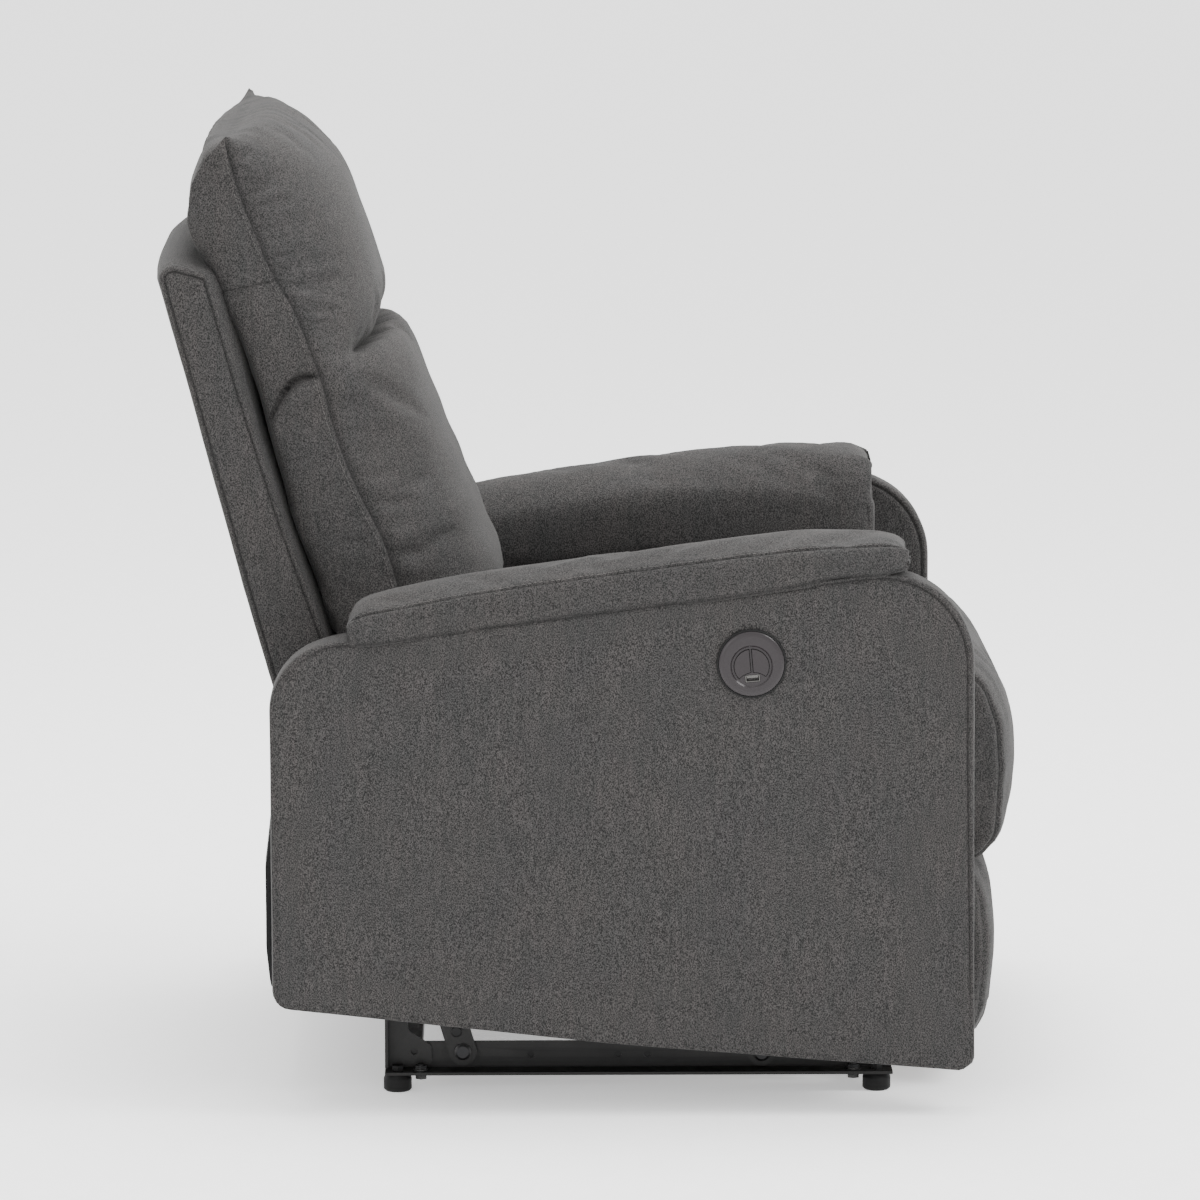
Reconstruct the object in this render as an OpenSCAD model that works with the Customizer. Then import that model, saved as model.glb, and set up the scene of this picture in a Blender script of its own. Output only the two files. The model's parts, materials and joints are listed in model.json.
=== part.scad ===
// Power recliner armchair. The chair faces -Y, +Z is up and -X is the occupant's right.
// Outlines are drawn in the side plane as [forward, up], so a forward value f lies at y = -f.

/* [Overall] */
// Width over the two side panels
chair_w = 780; // [770:2:790]
// Clear width between the arm bodies
seat_w = 550; // [546:1:554]
// Thickness of each outer side panel
panel_t = 48; // [40:1:56]
// Height of the head pillow's top
back_h = 1005; // [985:5:1020]

/* [Seat] */
// Height of the seat cushion's crown
seat_h = 478; // [470:1:486]
// Forward reach of the seat cushion
seat_front = 437; // [430:1:440]
// Height of the seat box rails' top
box_h = 258.5; // [256:0.5:260]

/* [Footrest] */
// Width of the footrest pad
pad_w = 522; // [500:2:530]
// Height of the folded pad's top edge
pad_top = 230; // [224:1:231]
// Height of the folded pad's bottom edge
pad_bottom = 56; // [50:1:70]

/* [Control] */
// Diameter of the round control's rim
control_d = 66; // [60:1:70]
// Diameter of the round button field
button_d = 36; // [32:1:38]

/* [Base] */
// Distance between the outer faces of the rail webs
rail_w = 506; // [504:0.5:508]
// Height of a foot under its rail
foot_h = 18; // [16:0.5:20]

/* [Hidden] */
$fn = 48;

// Colours
steel = [0.09, 0.09, 0.1];
zinc = [0.62, 0.63, 0.65];
cloth = [0.2, 0.2, 0.22];
timber = [0.72, 0.56, 0.38];
plastic = [0.1, 0.1, 0.11];
rim_tone = [0.3, 0.28, 0.33];

// Lateral places of the linkage's layers, as inner faces; every plate is plate_t thick
plate_t = 4;
bearing_x = 216;
inner_x = 233;
middle_x = 238;
outer_x = 243;
seat_plate_x = 248;
swing_x = 254;
web_t = 3;
web_x = rail_w / 2 - web_t;
side_x = chair_w / 2;
arm_x = seat_w / 2;

// Running clearance on a pin's diameter, and the extra diameter at an opened pivot
running = 0.15;
open_play = 9;
pin_d = 10;

// Pivots, [forward, up]
base_rear = [-130, 38];
base_front = [178, 36];
seat_rear = [-163, 145];
seat_mid = [105, 130];
back_hinge = [-230, 300];
drive_pivot = [280, 204.5];
lift_pivot = [301.5, 243];
drive_end = [240.5, 72.5];
lift_knee = [262, 111];
lift_end = [262, 68];
pad_pivot = [345, 215];
stay_pivot = [351, 167.5];
swing_bar_at = base_rear + 0.2 * (seat_rear - base_rear);

// Seat box, actuator and control
board_f = 360;
board_t = 12;
pad_f = [board_f + board_t, 413];
track_top = 146;
tube_d = 20;
torque_d = 25;
journal_d = 16;
tube_rest = [[-120, track_top + tube_d / 2 + 0.3], [190, track_top + tube_d / 2 + 0.3]];
crank_r = 45;
crank_start = -140.5;
crank_pin = drive_pivot + crank_r * [cos(crank_start), sin(crank_start)];
control_at = [161, 464.5];
arm_slope = atan2(71, 539);
arm_rear = [-225, 489];
foot_f = [-197, 296];

// ---------- helpers ----------

function unit(v) = v / norm(v);

// Points of an arc of radius r that rounds the corner b between a and c
function fillet(a, b, c, r, n = 5) =
    let (p = unit(a - b), q = unit(c - b), h = acos(p * q) / 2,
         m = b + unit(p + q) * r / sin(h),
         s = b + p * r / tan(h) - m, e = b + q * r / tan(h) - m,
         a0 = atan2(s[1], s[0]), turn = (atan2(e[1], e[0]) - a0 + 540) % 360 - 180)
    [for (i = [0:n]) m + r * [cos(a0 + turn * i / n), sin(a0 + turn * i / n)]];

// Outline through corners given as [forward, up, radius]
function rounded(k) = let (n = len(k)) [
    for (i = [0:n - 1])
        let (a = k[(i + n - 1) % n], b = k[i], c = k[(i + 1) % n])
        each (b[2] > 0 ? fillet([a[0], a[1]], [b[0], b[1]], [c[0], c[1]], b[2]) : [[b[0], b[1]]])
];

function arm_line(f, up = 0) = arm_rear[1] + up + (f - arm_rear[0]) * tan(arm_slope);

// Extrudes a side-plane outline from x0 to x1
module lateral(x0, x1) {
    translate([x0, 0, 0]) mirror([0, 1, 0]) rotate([90, 0, 90]) linear_extrude(x1 - x0) children();
}

// A round bar along X at a side-plane point
module across(at, d, x0, x1) {
    translate([x0, -at[0], at[1]]) rotate([0, 90, 0]) cylinder(d = d, h = x1 - x0);
}

// Children are drawn for the left side, +X; the right side is their mirror image
module on_side(s) {
    if (s > 0) children();
    else mirror([1, 0, 0]) children();
}

module both_sides() {
    children();
    mirror([1, 0, 0]) children();
}

// Flat bar with round ends in the side plane
module bar(p, q, w) {
    hull() for (at = [p, q]) translate(at) circle(d = w, $fn = 32);
}

// Flat link through a list of points, with round holes given as [place, diameter]
module link(points, w, holes, x0) {
    lateral(x0, x0 + plate_t) difference() {
        for (i = [0:len(points) - 2]) bar(points[i], points[i + 1], w);
        for (h = holes) translate(h[0]) circle(d = h[1]);
    }
}

// Domed rivet head, standing out along +X from x0
module rivet_head(at, d, x0, h = 2.5) {
    translate([x0, -at[0], at[1]]) rotate([0, 90, 0]) {
        cylinder(d = d, h = h * 0.6);
        translate([0, 0, h * 0.6]) cylinder(d1 = d, d2 = d * 0.72, h = h * 0.4);
    }
}

// Sinuous wire in the XY plane, its loops w wide, running along +X
module sinuous(w, pitch, loops, wire) {
    linear_extrude(wire) {
        for (i = [0:loops]) translate([i * pitch, pitch / 2]) square([wire, w - pitch]);
        for (i = [0:loops - 1])
            translate([i * pitch + pitch / 2 + wire / 2, i % 2 == 0 ? w - pitch / 2 : pitch / 2])
                intersection() {
                    difference() {
                        circle(d = pitch + wire);
                        circle(d = pitch - wire);
                    }
                    translate([-pitch, i % 2 == 0 ? 0 : -2 * pitch]) square(2 * pitch);
                }
    }
}

// ---------- base ----------

rail_f = [-210, 312];
rail_top = 48;
flange_x = 280;

module base_rail(s) {
    color(steel) on_side(s) difference() {
        union() {
            lateral(web_x, web_x + web_t)
                polygon(rounded([[rail_f[0], foot_h, 0], [rail_f[1], foot_h, 0],
                                 [rail_f[1], rail_top, 12], [rail_f[0], rail_top, 12]]));
            translate([web_x, -rail_f[1], foot_h]) cube([flange_x - web_x, rail_f[1] - rail_f[0], web_t]);
        }
        across(base_rear, pin_d, web_x - 1, web_x + web_t + 1);
        across(base_front, pin_d, web_x - 1, web_x + web_t + 1);
        for (f = [-60, 30, 60, 240]) across([f, 34], 7, web_x + web_t - 1.2, web_x + web_t + 1);
        for (f = foot_f) translate([266, -f, foot_h - 1]) cylinder(d = 8, h = web_t + 2);
        for (f = foot_f) translate([266, -f + bolt_step(f), foot_h - 1]) cylinder(d = 8, h = web_t + 2);
    }
}

// Each foot has a bolt beside it, towards the middle of the rail
function bolt_step(f) = f > 0 ? 24 : -24;

module base_rail_right() { base_rail(-1); }
module base_rail_left() { base_rail(1); }

module base_cross_tubes() {
    color(steel) for (f = [rail_f[0] + 26, rail_f[1] - 22])
        translate([-web_x, -f - 12, foot_h + 4]) difference() {
            cube([2 * web_x, 24, 24]);
            translate([-1, 2, 2]) cube([2 * web_x + 2, 20, 20]);
        }
}

module base_feet() {
    color(plastic) both_sides() for (f = foot_f) translate([266, -f, 0]) {
        rotate_extrude() polygon([[0, 0], [12.5, 0], [14.5, 2], [14.5, 13], [12, foot_h], [0, foot_h]]);
        translate([0, 0, foot_h]) cylinder(d = 7.8, h = web_t);
        translate([0, 0, foot_h + web_t]) cylinder(d = 13, h = 5, $fn = 6);
    }
}

module foot_bolts() {
    color(zinc) both_sides() for (f = foot_f) translate([266, -f + bolt_step(f), 0]) {
        translate([0, 0, foot_h - 6]) cylinder(d = 13, h = 6, $fn = 6);
        translate([0, 0, foot_h]) cylinder(d = 7.8, h = web_t + 6);
        translate([0, 0, foot_h + web_t]) cylinder(d = 16, h = 1.6);
        translate([0, 0, foot_h + web_t + 1.6]) cylinder(d = 13, h = 3.4, $fn = 6);
    }
}

// Upright bracket at the rail's rear end, with a sloping brace in front of it
module rear_bracket(s) {
    color(steel) on_side(s) {
        lateral(web_x + web_t, web_x + web_t + 3) difference() {
            polygon(rounded([[-210, 24, 0], [-162, 24, 4], [-162, 44, 6], [-186, 60, 6],
                             [-188, 82, 5], [-210, 82, 5]]));
            translate([-180, 38]) circle(d = 7);
        }
        lateral(web_x + web_t + 3, 271) polygon([[-210, 24], [-207, 24], [-207, 76], [-210, 76]]);
    }
}

module rear_bracket_right() { rear_bracket(-1); }
module rear_bracket_left() { rear_bracket(1); }

// Rivets through the rail webs that carry the lower ends of the four swing links
module base_pivot_rivets() {
    color(zinc) both_sides() for (at = [base_rear, base_front]) {
        across(at, pin_d, web_x - 2, swing_x + plate_t + 0.4);
        across(at, 16, web_x - 2, web_x);
        across(at, 15, web_x + web_t, swing_x - 0.2);
        rivet_head(at, 17, swing_x + plate_t + 0.4, 3);
    }
}

// ---------- swing links ----------

module rear_swing_link(s) {
    color(steel) on_side(s)
        link([base_rear, seat_rear], 29, [[base_rear, pin_d + running], [seat_rear, pin_d + running],
             [swing_bar_at, 8]], swing_x);
}

module rear_swing_link_right() { rear_swing_link(-1); }
module rear_swing_link_left() { rear_swing_link(1); }

// The bar that ties the two rear swing links together
module rear_swing_bar() {
    color(steel) {
        across(swing_bar_at, 12, -swing_x, swing_x);
        both_sides() {
            across(swing_bar_at, 8, swing_x, swing_x + plate_t);
            rivet_head(swing_bar_at, 12, swing_x + plate_t, 2);
        }
    }
}

// The upper hole is a clearance hole: this pivot is the open one of the recline linkage
module front_swing_link(s) {
    color(steel) on_side(s)
        link([base_front, seat_mid], 28, [[base_front, pin_d + running], [seat_mid, pin_d + open_play]], swing_x);
}

module front_swing_link_right() { front_swing_link(-1); }
module front_swing_link_left() { front_swing_link(1); }

// ---------- seat structure ----------

// Side plate of the mechanism: carries every seat pivot and the back hinge
module seat_plate(s) {
    color(steel) on_side(s) lateral(seat_plate_x, seat_plate_x + plate_t) difference() {
        union() {
            bar(seat_rear, back_hinge, 34);
            bar(seat_rear, seat_mid, 30);
            bar(seat_mid, tube_rest[1], 30);
            bar(tube_rest[1], drive_pivot, 34);
            bar(drive_pivot, lift_pivot, 28);
            polygon([seat_rear, seat_mid, tube_rest[1], drive_pivot, lift_pivot, [280, 244], [-185, 244]]);
        }
        for (at = [seat_rear, seat_mid, back_hinge, lift_pivot]) translate(at) circle(d = pin_d);
        for (f = [-150, -20, 110, 230]) translate([f, 233]) circle(d = 7);
    }
}

module seat_plate_right() { seat_plate(-1); }
module seat_plate_left() { seat_plate(1); }

// Two cross tubes that carry the actuator's track on welded saddles
module seat_cross_tubes() {
    color(steel) for (at = tube_rest) {
        across(at, tube_d, -seat_plate_x, seat_plate_x);
        translate([-14, -at[0] - 8, track_top]) cube([28, 16, 6]);
    }
}

// Plates welded round the front cross tube; the torque tube turns in their front ends
module torque_bearings() {
    color(steel) both_sides() lateral(bearing_x, bearing_x + plate_t) difference() {
        bar(tube_rest[1], drive_pivot, 40);
        translate(tube_rest[1]) circle(d = tube_d);
        translate(drive_pivot) circle(d = torque_d + running);
    }
}

// Pins fixed in the seat plates: swing link tops, back hinge and lift link tops
module seat_pivot_rivets() {
    color(zinc) both_sides() {
        for (at = [seat_rear, seat_mid]) {
            across(at, pin_d, seat_plate_x - 2, swing_x + plate_t + 0.5);
            across(at, 16, seat_plate_x - 2, seat_plate_x);
            rivet_head(at, at == seat_mid ? 24 : 18, swing_x + plate_t + 0.5, 3);
        }
        across(seat_rear, 15, seat_plate_x + plate_t, swing_x - 0.2);
        for (at = [back_hinge, lift_pivot]) {
            across(at, pin_d, outer_x - 2.5, seat_plate_x + plate_t + 1.5);
            across(at, 18, outer_x - 2.5, outer_x - 0.5);
            across(at, 16, seat_plate_x + plate_t, seat_plate_x + plate_t + 1.5);
        }
    }
}

module seat_side_rail(s) {
    color(timber) on_side(s) translate([swing_x, -285, 205]) cube([arm_x - 1 - swing_x, 500, box_h - 205]);
}

module seat_side_rail_right() { seat_side_rail(-1); }
module seat_side_rail_left() { seat_side_rail(1); }

rail_board = 15;
module seat_front_rail() {
    color(timber) translate([-arm_x + 1, -340, box_h]) cube([seat_w - 2, 55, rail_board]);
}

module seat_rear_rail() {
    color(timber) translate([-arm_x + 1, 135, box_h]) cube([seat_w - 2, 40, rail_board]);
}

// Four sinuous springs, front rail to rear rail
spring_wire = 3.6;
module seat_springs() {
    color(zinc) for (x = [-165, -55, 55, 165])
        translate([x + 30, -284, box_h + 6]) rotate([0, 0, 90]) sinuous(60, 41.4, 10, spring_wire);
}

module seat_cushion() {
    base_z = box_h + rail_board + 1;
    color(cloth) lateral(-arm_x + 5, arm_x - 5)
        polygon(rounded([[-175, base_z, 20], [346, base_z, 0], [352, 253, 0], [402, 253, 25],
                         [seat_front, 345, 120], [408, seat_h - 16, 45], [250, seat_h, 200],
                         [-175, seat_h - 38, 30]]));
}

// ---------- arms and side panels ----------

// Outer side panel with the recess for the control on the right-hand side
module side_panel(s) {
    color(cloth) on_side(s) difference() {
        lateral(side_x - panel_t, side_x)
            polygon(rounded([[-320, 113, 18], [10, 76, 60], [352, 48, 20], [375, 46, 8], [388, 55, 9],
                             [383, 567, 90], [arm_rear[0], arm_rear[1], 30], [-322, 482, 72]]));
        if (s < 0) across(control_at, control_d - 7, side_x - 27, side_x + 1);
    }
}

module side_panel_right() { side_panel(-1); }
module side_panel_left() { side_panel(1); }

module arm_body(s) {
    color(cloth) on_side(s) lateral(arm_x, side_x - panel_t - 0.5)
        polygon(rounded([[-300, 128, 20], [9, 98, 60], [300, 72, 20], [318, 100, 10],
                         [322, arm_line(322, -6), 12], [-225, arm_rear[1] - 6, 30], [-300, 470, 50]]));
}

module arm_body_right() { arm_body(-1); }
module arm_body_left() { arm_body(1); }

// The pad's crown follows the slope of the arm and falls off round at both ends
module arm_pad(s) {
    color(cloth) on_side(s) lateral(arm_x - 2, side_x - 2)
        polygon(rounded([[-246, arm_line(-246, 1.9), 0], [319, arm_line(319, 1), 0],
                         [312, arm_line(312, 34), 20], [210, arm_line(210, 45), 120],
                         [-80, arm_line(-80, 44), 160], [-228, arm_line(-228, 32), 24]]));
}

module arm_pad_right() { arm_pad(-1); }
module arm_pad_left() { arm_pad(1); }

module dust_cover() {
    color(plastic) lateral(-arm_x + 3, arm_x - 3)
        polygon(rounded([[-325, 150, 3], [-318, 135, 3], [-310, 135, 0], [-316, 152, 0], [-316, 274, 0],
                         [-325, 274, 3]]));
}

// ---------- actuator ----------

module motor_housing() {
    color(plastic) {
        translate([-27, 150, 98]) difference() {
            cube([54, 56, 54]);
            translate([-1, -1, -1]) cube([9, 12, 56]);
            translate([46, -1, -1]) cube([9, 12, 56]);
        }
        translate([27, 178, 124]) rotate([0, 90, 0]) {
            cylinder(d = 46, h = 84);
            translate([0, 0, 84]) cylinder(d1 = 46, d2 = 38, h = 5);
        }
        translate([-45, 178, 124]) rotate([0, 90, 0]) cylinder(d = 36, h = 18);
    }
}

// Aluminium track, open along its top, with the lead screw inside
module actuator_track() {
    color(zinc) {
        difference() {
            translate([-15, -335, track_top - 30]) cube([30, 485, 30]);
            translate([-12, -336, track_top - 27]) cube([24, 486, 22]);
            translate([-6, -336, track_top - 6]) cube([12, 486, 7]);
        }
        translate([0, 150, track_top - 16]) rotate([90, 0, 0]) cylinder(d = 10, h = 485);
    }
}

module power_inlet() {
    color(plastic) translate([-62, 166, 112]) difference() {
        cube([17, 24, 18]);
        translate([-1, 4, 4]) cube([12, 16, 10]);
    }
}

// Nut block on the track, with an open-topped fork that takes the crank's pin
module drive_nut() {
    fork_w = pin_d + 7;
    color(plastic) {
        translate([-13, -crank_pin[0] - 24, track_top + 0.3]) cube([26, 66, 4]);
        translate([-4.5, -crank_pin[0] - 20, track_top + 4]) difference() {
            cube([9, 40, 34]);
            translate([-1, 20 - fork_w / 2, 3]) cube([11, fork_w, 60]);
        }
    }
}

// ---------- control ----------

// Children are drawn about the control's centre, +Z out of the panel
module at_control() {
    translate([-side_x, -control_at[0], control_at[1]]) rotate([0, -90, 0]) rotate([0, 0, -90]) children();
}

// The insert sits a little low in the rim and is turned a few degrees
insert_drop = 2.6;
insert_turn = 5;
insert_d = 42;
button_gap = 0.7;
port_up = -12.2;

module at_insert() {
    at_control() translate([0, -insert_drop, 0]) rotate([0, 0, insert_turn]) children();
}

module control_housing() {
    color(rim_tone) difference() {
        at_control() {
            rotate_extrude() polygon([[0, 0.1], [control_d / 2, 0.1], [control_d / 2, 1.1],
                                      [control_d / 2 - 0.4, 1.9], [control_d / 2 - 1.3, 2.6],
                                      [control_d / 2 - 2.8, 3.1], [control_d / 2 - 5, 3.3], [0, 3.3]]);
            translate([0, 0, -24]) cylinder(d = control_d - 8, h = 24.1);
        }
        at_insert() {
            translate([0, 0, 1.8]) cylinder(d1 = insert_d - 2, d2 = insert_d + 2, h = 2);
            button_field(0);
            translate([-7.6, port_up - 3.8, -14]) cube([15.2, 7.6, 20]);
        }
    }
}

// Recess for the two buttons; a rib divides it down the middle
module button_field(shrink) {
    for (s = [-1, 1]) translate([0, 0, -6]) linear_extrude(12) button_outline(s, shrink);
}

// Half of the button field, over the arched insert that carries the port
module button_outline(s, shrink) {
    difference() {
        intersection() {
            circle(d = button_d - 2 * shrink);
            translate([s > 0 ? 0.8 + shrink : -30 - 0.8 - shrink, -30]) square([30, 60]);
        }
        translate([0, -25.6]) circle(r = 19.1 + shrink);
    }
}

module button(s) {
    color(rim_tone) at_insert() {
        translate([0, 0, -4.4]) linear_extrude(7.4) button_outline(s, button_gap);
    }
}

module button_recline() { button(1); }
module button_upright() { button(-1); }

module usb_port() {
    color(zinc) at_insert() translate([0, port_up, -13.5]) {
        difference() {
            translate([-7.2, -3.4, 0]) cube([14.4, 6.8, 15.5]);
            translate([-6.4, -2.6, 1]) cube([12.8, 5.2, 15.5]);
        }
        translate([-5.6, 0.2, 0.9]) cube([11.2, 1.9, 12]);
    }
}

// ---------- footrest linkage ----------

// Torque tube across the seat, with two crank cheeks and the crank's pin
module torque_tube() {
    color(steel) {
        across(drive_pivot, torque_d, -inner_x, inner_x);
        both_sides() across(drive_pivot, journal_d, inner_x, inner_x + plate_t + 0.5);
        for (x = [-14, 8]) lateral(x, x + 6) bar(drive_pivot, crank_pin, 16);
        across(crank_pin, pin_d, -14, 14);
    }
}

module drive_link(s) {
    color(steel) on_side(s) {
        link([drive_pivot, drive_end], 26, [[drive_pivot, journal_d], [drive_end, pin_d]], inner_x);
        across(drive_end, pin_d, inner_x - 0.2, middle_x + plate_t + 0.6);
        mirror([1, 0, 0]) rivet_head(drive_end, 17, -inner_x + 0.2);
    }
}

module drive_link_right() { drive_link(-1); }
module drive_link_left() { drive_link(1); }

module lift_link(s) {
    color(steel) on_side(s) {
        link([lift_pivot, lift_knee, lift_end], 26, [[lift_pivot, pin_d + running], [lift_knee, pin_d],
             [lift_end, pin_d]], outer_x);
        for (at = [lift_knee, lift_end]) {
            across(at, pin_d, middle_x - 0.2, outer_x + plate_t);
            across(at, 15, outer_x - 0.6, outer_x);
        }
    }
}

module lift_link_right() { lift_link(-1); }
module lift_link_left() { lift_link(1); }

module extension_link(s) {
    color(steel) on_side(s) {
        link([drive_end, lift_knee, pad_pivot], 20, [[drive_end, pin_d + running], [lift_knee, pin_d + running],
             [pad_pivot, 8]], middle_x);
        across(pad_pivot, 8, inner_x - 0.3, middle_x + plate_t);
        mirror([1, 0, 0]) rivet_head(pad_pivot, 15, -inner_x + 0.3);
    }
}

module extension_link_right() { extension_link(-1); }
module extension_link_left() { extension_link(1); }

// Its pad end turns in a clearance hole: that pivot is the open one of the footrest linkage
module stay_link(s) {
    color(steel) on_side(s) {
        link([lift_end, stay_pivot], 18, [[lift_end, pin_d + running], [stay_pivot, 8]], middle_x);
        across(stay_pivot, 8, inner_x - 0.3, middle_x + plate_t);
        mirror([1, 0, 0]) rivet_head(stay_pivot, 21, -inner_x + 0.3);
    }
}

module stay_link_right() { stay_link(-1); }
module stay_link_left() { stay_link(1); }

// ---------- footrest ----------

// Plate behind the board's edge, with a flange turned in against the board's back
module footrest_bracket(s) {
    color(steel) on_side(s) {
        lateral(inner_x, inner_x + plate_t) difference() {
            union() {
                bar(pad_pivot, stay_pivot, 26);
                polygon([[350, 150], [board_f, 140], [board_f, 226], [346, 226]]);
            }
            translate(pad_pivot) circle(d = 8 + running);
            translate(stay_pivot) circle(d = 8 + open_play);
        }
        for (z = [140, 186]) translate([204, -board_f, z]) cube([inner_x - 204, 3, z > 150 ? 40 : 14]);
        translate([204, -board_f, 140]) cube([18, 3, 86]);
    }
}

module footrest_bracket_right() { footrest_bracket(-1); }
module footrest_bracket_left() { footrest_bracket(1); }

module footrest_board() {
    color(timber) translate([-226, -board_f - board_t, pad_bottom + 6])
        cube([452, board_t, pad_top - pad_bottom - 12]);
}

module footrest_pad() {
    color(cloth) lateral(-pad_w / 2, pad_w / 2)
        polygon(rounded([[pad_f[0], pad_bottom, 8], [pad_f[1] - 6, pad_bottom, 20], [pad_f[1], 140, 200],
                         [pad_f[1] - 6, pad_top, 22], [pad_f[0], pad_top, 8]]));
}

// ---------- back ----------

module back_shell() {
    color(cloth) difference() {
        lateral(-arm_x + 8, arm_x - 8)
            polygon(rounded([[-297, 330, 12], [-352, 526, 300], [-401, 712, 0], [-438, 850, 14],
                             [-418, 868, 14], [-380, 850, 10], [-352, 729, 0], [-310, 592, 0],
                             [-267, 470, 120], [-246, 330, 4]]));
        lateral(-arm_x + 26, arm_x - 26)
            polygon([[-284, 322], [-313, 438], [-339, 526], [-388, 712], [-421, 835], [-350, 840],
                     [-330, 729], [-290, 592], [-247, 470], [-226, 322]]);
    }
}

// Front and rear faces of the back frame at a height
function back_line(z, front) =
    let (t = (z - 360) / (820 - 360)) front ? -262 + t * (-366 + 262) : -290 + t * (-408 + 290);

// A timber of the back frame between two heights
module back_timber(low, high, x0, x1) {
    lateral(x0, x1) polygon([[back_line(low, false), low], [back_line(high, false), high],
                             [back_line(high, true), high], [back_line(low, true), low]]);
}

module back_uprights() {
    color(timber) both_sides() back_timber(345, 830, 200, 226);
}

module back_rails() {
    color(timber) for (z = [352, 560, 770]) back_timber(z, z + 45, -200, 200);
}

// Three sinuous springs between the frame's bottom and top rails
module back_springs() {
    tilt = atan2(366 - 262, 820 - 360);
    color(zinc) for (x = [-120, 0, 120])
        translate([x - 26, 0, 0]) translate([0, -back_line(398, true) + 6, 398]) rotate([90 - tilt - 180, 0, 0])
            mirror([0, 1, 0]) rotate([0, 0, 90]) mirror([0, 1, 0]) sinuous(52, 39, 4, spring_wire);
}

module back_cushion() {
    color(cloth) lateral(-arm_x + 13, arm_x - 13)
        polygon(rounded([[-240, 468, 12], [-190, 457, 20], [-105, 464, 20], [-88, 500, 30], [-140, 640, 300],
                         [-216, 782, 20], [-352, 782, 0], [-322, 684, 0], [-288, 586, 0], [-252, 492, 0]]));
}

module head_pillow() {
    color(cloth) lateral(-arm_x + 13, arm_x - 13)
        polygon(rounded([[-353, 783, 0], [-218, 783, 20], [-222, 870, 120], [-280, 990, 70],
                         [-352, back_h + 3, 26], [-398, 992, 20], [-406, 930, 10], [-376, 868, 0]]));
}

// Steel bracket that joins the back frame to the hinge pin
module back_bracket(s) {
    color(steel) on_side(s) {
        lateral(outer_x, outer_x + plate_t) difference() {
            union() {
                bar(back_hinge, [-262, 372], 30);
                bar([-262, 372], [-292, 500], 30);
            }
            translate(back_hinge) circle(d = pin_d + running);
            for (z = [400, 480]) translate([-267 - (z - 372) * 0.23, z]) circle(d = 7);
        }
        lateral(226.2, outer_x) polygon([[-266, 372], [-296, 500], [-290, 502], [-260, 374]]);
    }
}

module back_bracket_right() { back_bracket(-1); }
module back_bracket_left() { back_bracket(1); }

// ---------- output ----------

base_rail_right();
base_rail_left();
base_cross_tubes();
base_feet();
foot_bolts();
rear_bracket_right();
rear_bracket_left();
base_pivot_rivets();
rear_swing_link_right();
rear_swing_link_left();
rear_swing_bar();
front_swing_link_right();
front_swing_link_left();
seat_plate_right();
seat_plate_left();
seat_cross_tubes();
torque_bearings();
seat_pivot_rivets();
seat_side_rail_right();
seat_side_rail_left();
seat_front_rail();
seat_rear_rail();
seat_springs();
seat_cushion();
side_panel_right();
side_panel_left();
arm_body_right();
arm_body_left();
arm_pad_right();
arm_pad_left();
dust_cover();
motor_housing();
actuator_track();
power_inlet();
control_housing();
usb_port();
drive_nut();
button_recline();
button_upright();
torque_tube();
drive_link_right();
drive_link_left();
lift_link_right();
lift_link_left();
extension_link_right();
extension_link_left();
stay_link_right();
stay_link_left();
footrest_bracket_right();
footrest_bracket_left();
footrest_board();
footrest_pad();
back_shell();
back_uprights();
back_rails();
back_springs();
back_cushion();
head_pillow();
back_bracket_right();
back_bracket_left();
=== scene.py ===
import json
import math

import bmesh
import bpy
import numpy as np
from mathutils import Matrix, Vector, noise


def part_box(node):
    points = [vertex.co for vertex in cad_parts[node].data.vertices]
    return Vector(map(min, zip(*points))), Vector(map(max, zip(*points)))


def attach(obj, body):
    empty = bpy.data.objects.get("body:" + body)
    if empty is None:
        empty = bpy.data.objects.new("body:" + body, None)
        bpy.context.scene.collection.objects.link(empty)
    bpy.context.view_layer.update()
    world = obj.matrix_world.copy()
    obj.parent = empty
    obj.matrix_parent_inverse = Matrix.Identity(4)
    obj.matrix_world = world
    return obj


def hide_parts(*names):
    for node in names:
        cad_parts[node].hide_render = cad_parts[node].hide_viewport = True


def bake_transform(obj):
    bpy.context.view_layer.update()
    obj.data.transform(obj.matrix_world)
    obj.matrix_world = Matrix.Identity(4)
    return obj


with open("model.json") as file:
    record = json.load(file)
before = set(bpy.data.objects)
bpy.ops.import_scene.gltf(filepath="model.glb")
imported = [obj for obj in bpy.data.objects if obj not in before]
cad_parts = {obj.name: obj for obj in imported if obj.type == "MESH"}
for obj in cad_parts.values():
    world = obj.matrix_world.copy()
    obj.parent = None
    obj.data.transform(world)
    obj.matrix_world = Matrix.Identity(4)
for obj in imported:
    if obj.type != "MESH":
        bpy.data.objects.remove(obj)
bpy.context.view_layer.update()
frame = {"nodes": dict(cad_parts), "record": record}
NODES = frame["nodes"]
MM = 0.001
RIGHT, LEFT = -1, 1
FLIP = np.array([-1, 1, 1])  # mirrors points across the middle of the chair


def add_object(name, data):
    obj = bpy.data.objects.new(name, data)
    bpy.context.scene.collection.objects.link(obj)
    return obj


def turn_along(obj, way):
    """Turns a camera or light so that it looks along way."""
    obj.rotation_mode = "QUATERNION"
    obj.rotation_quaternion = way.to_track_quat("-Z", "Y")


# ---------- camera ----------

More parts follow.
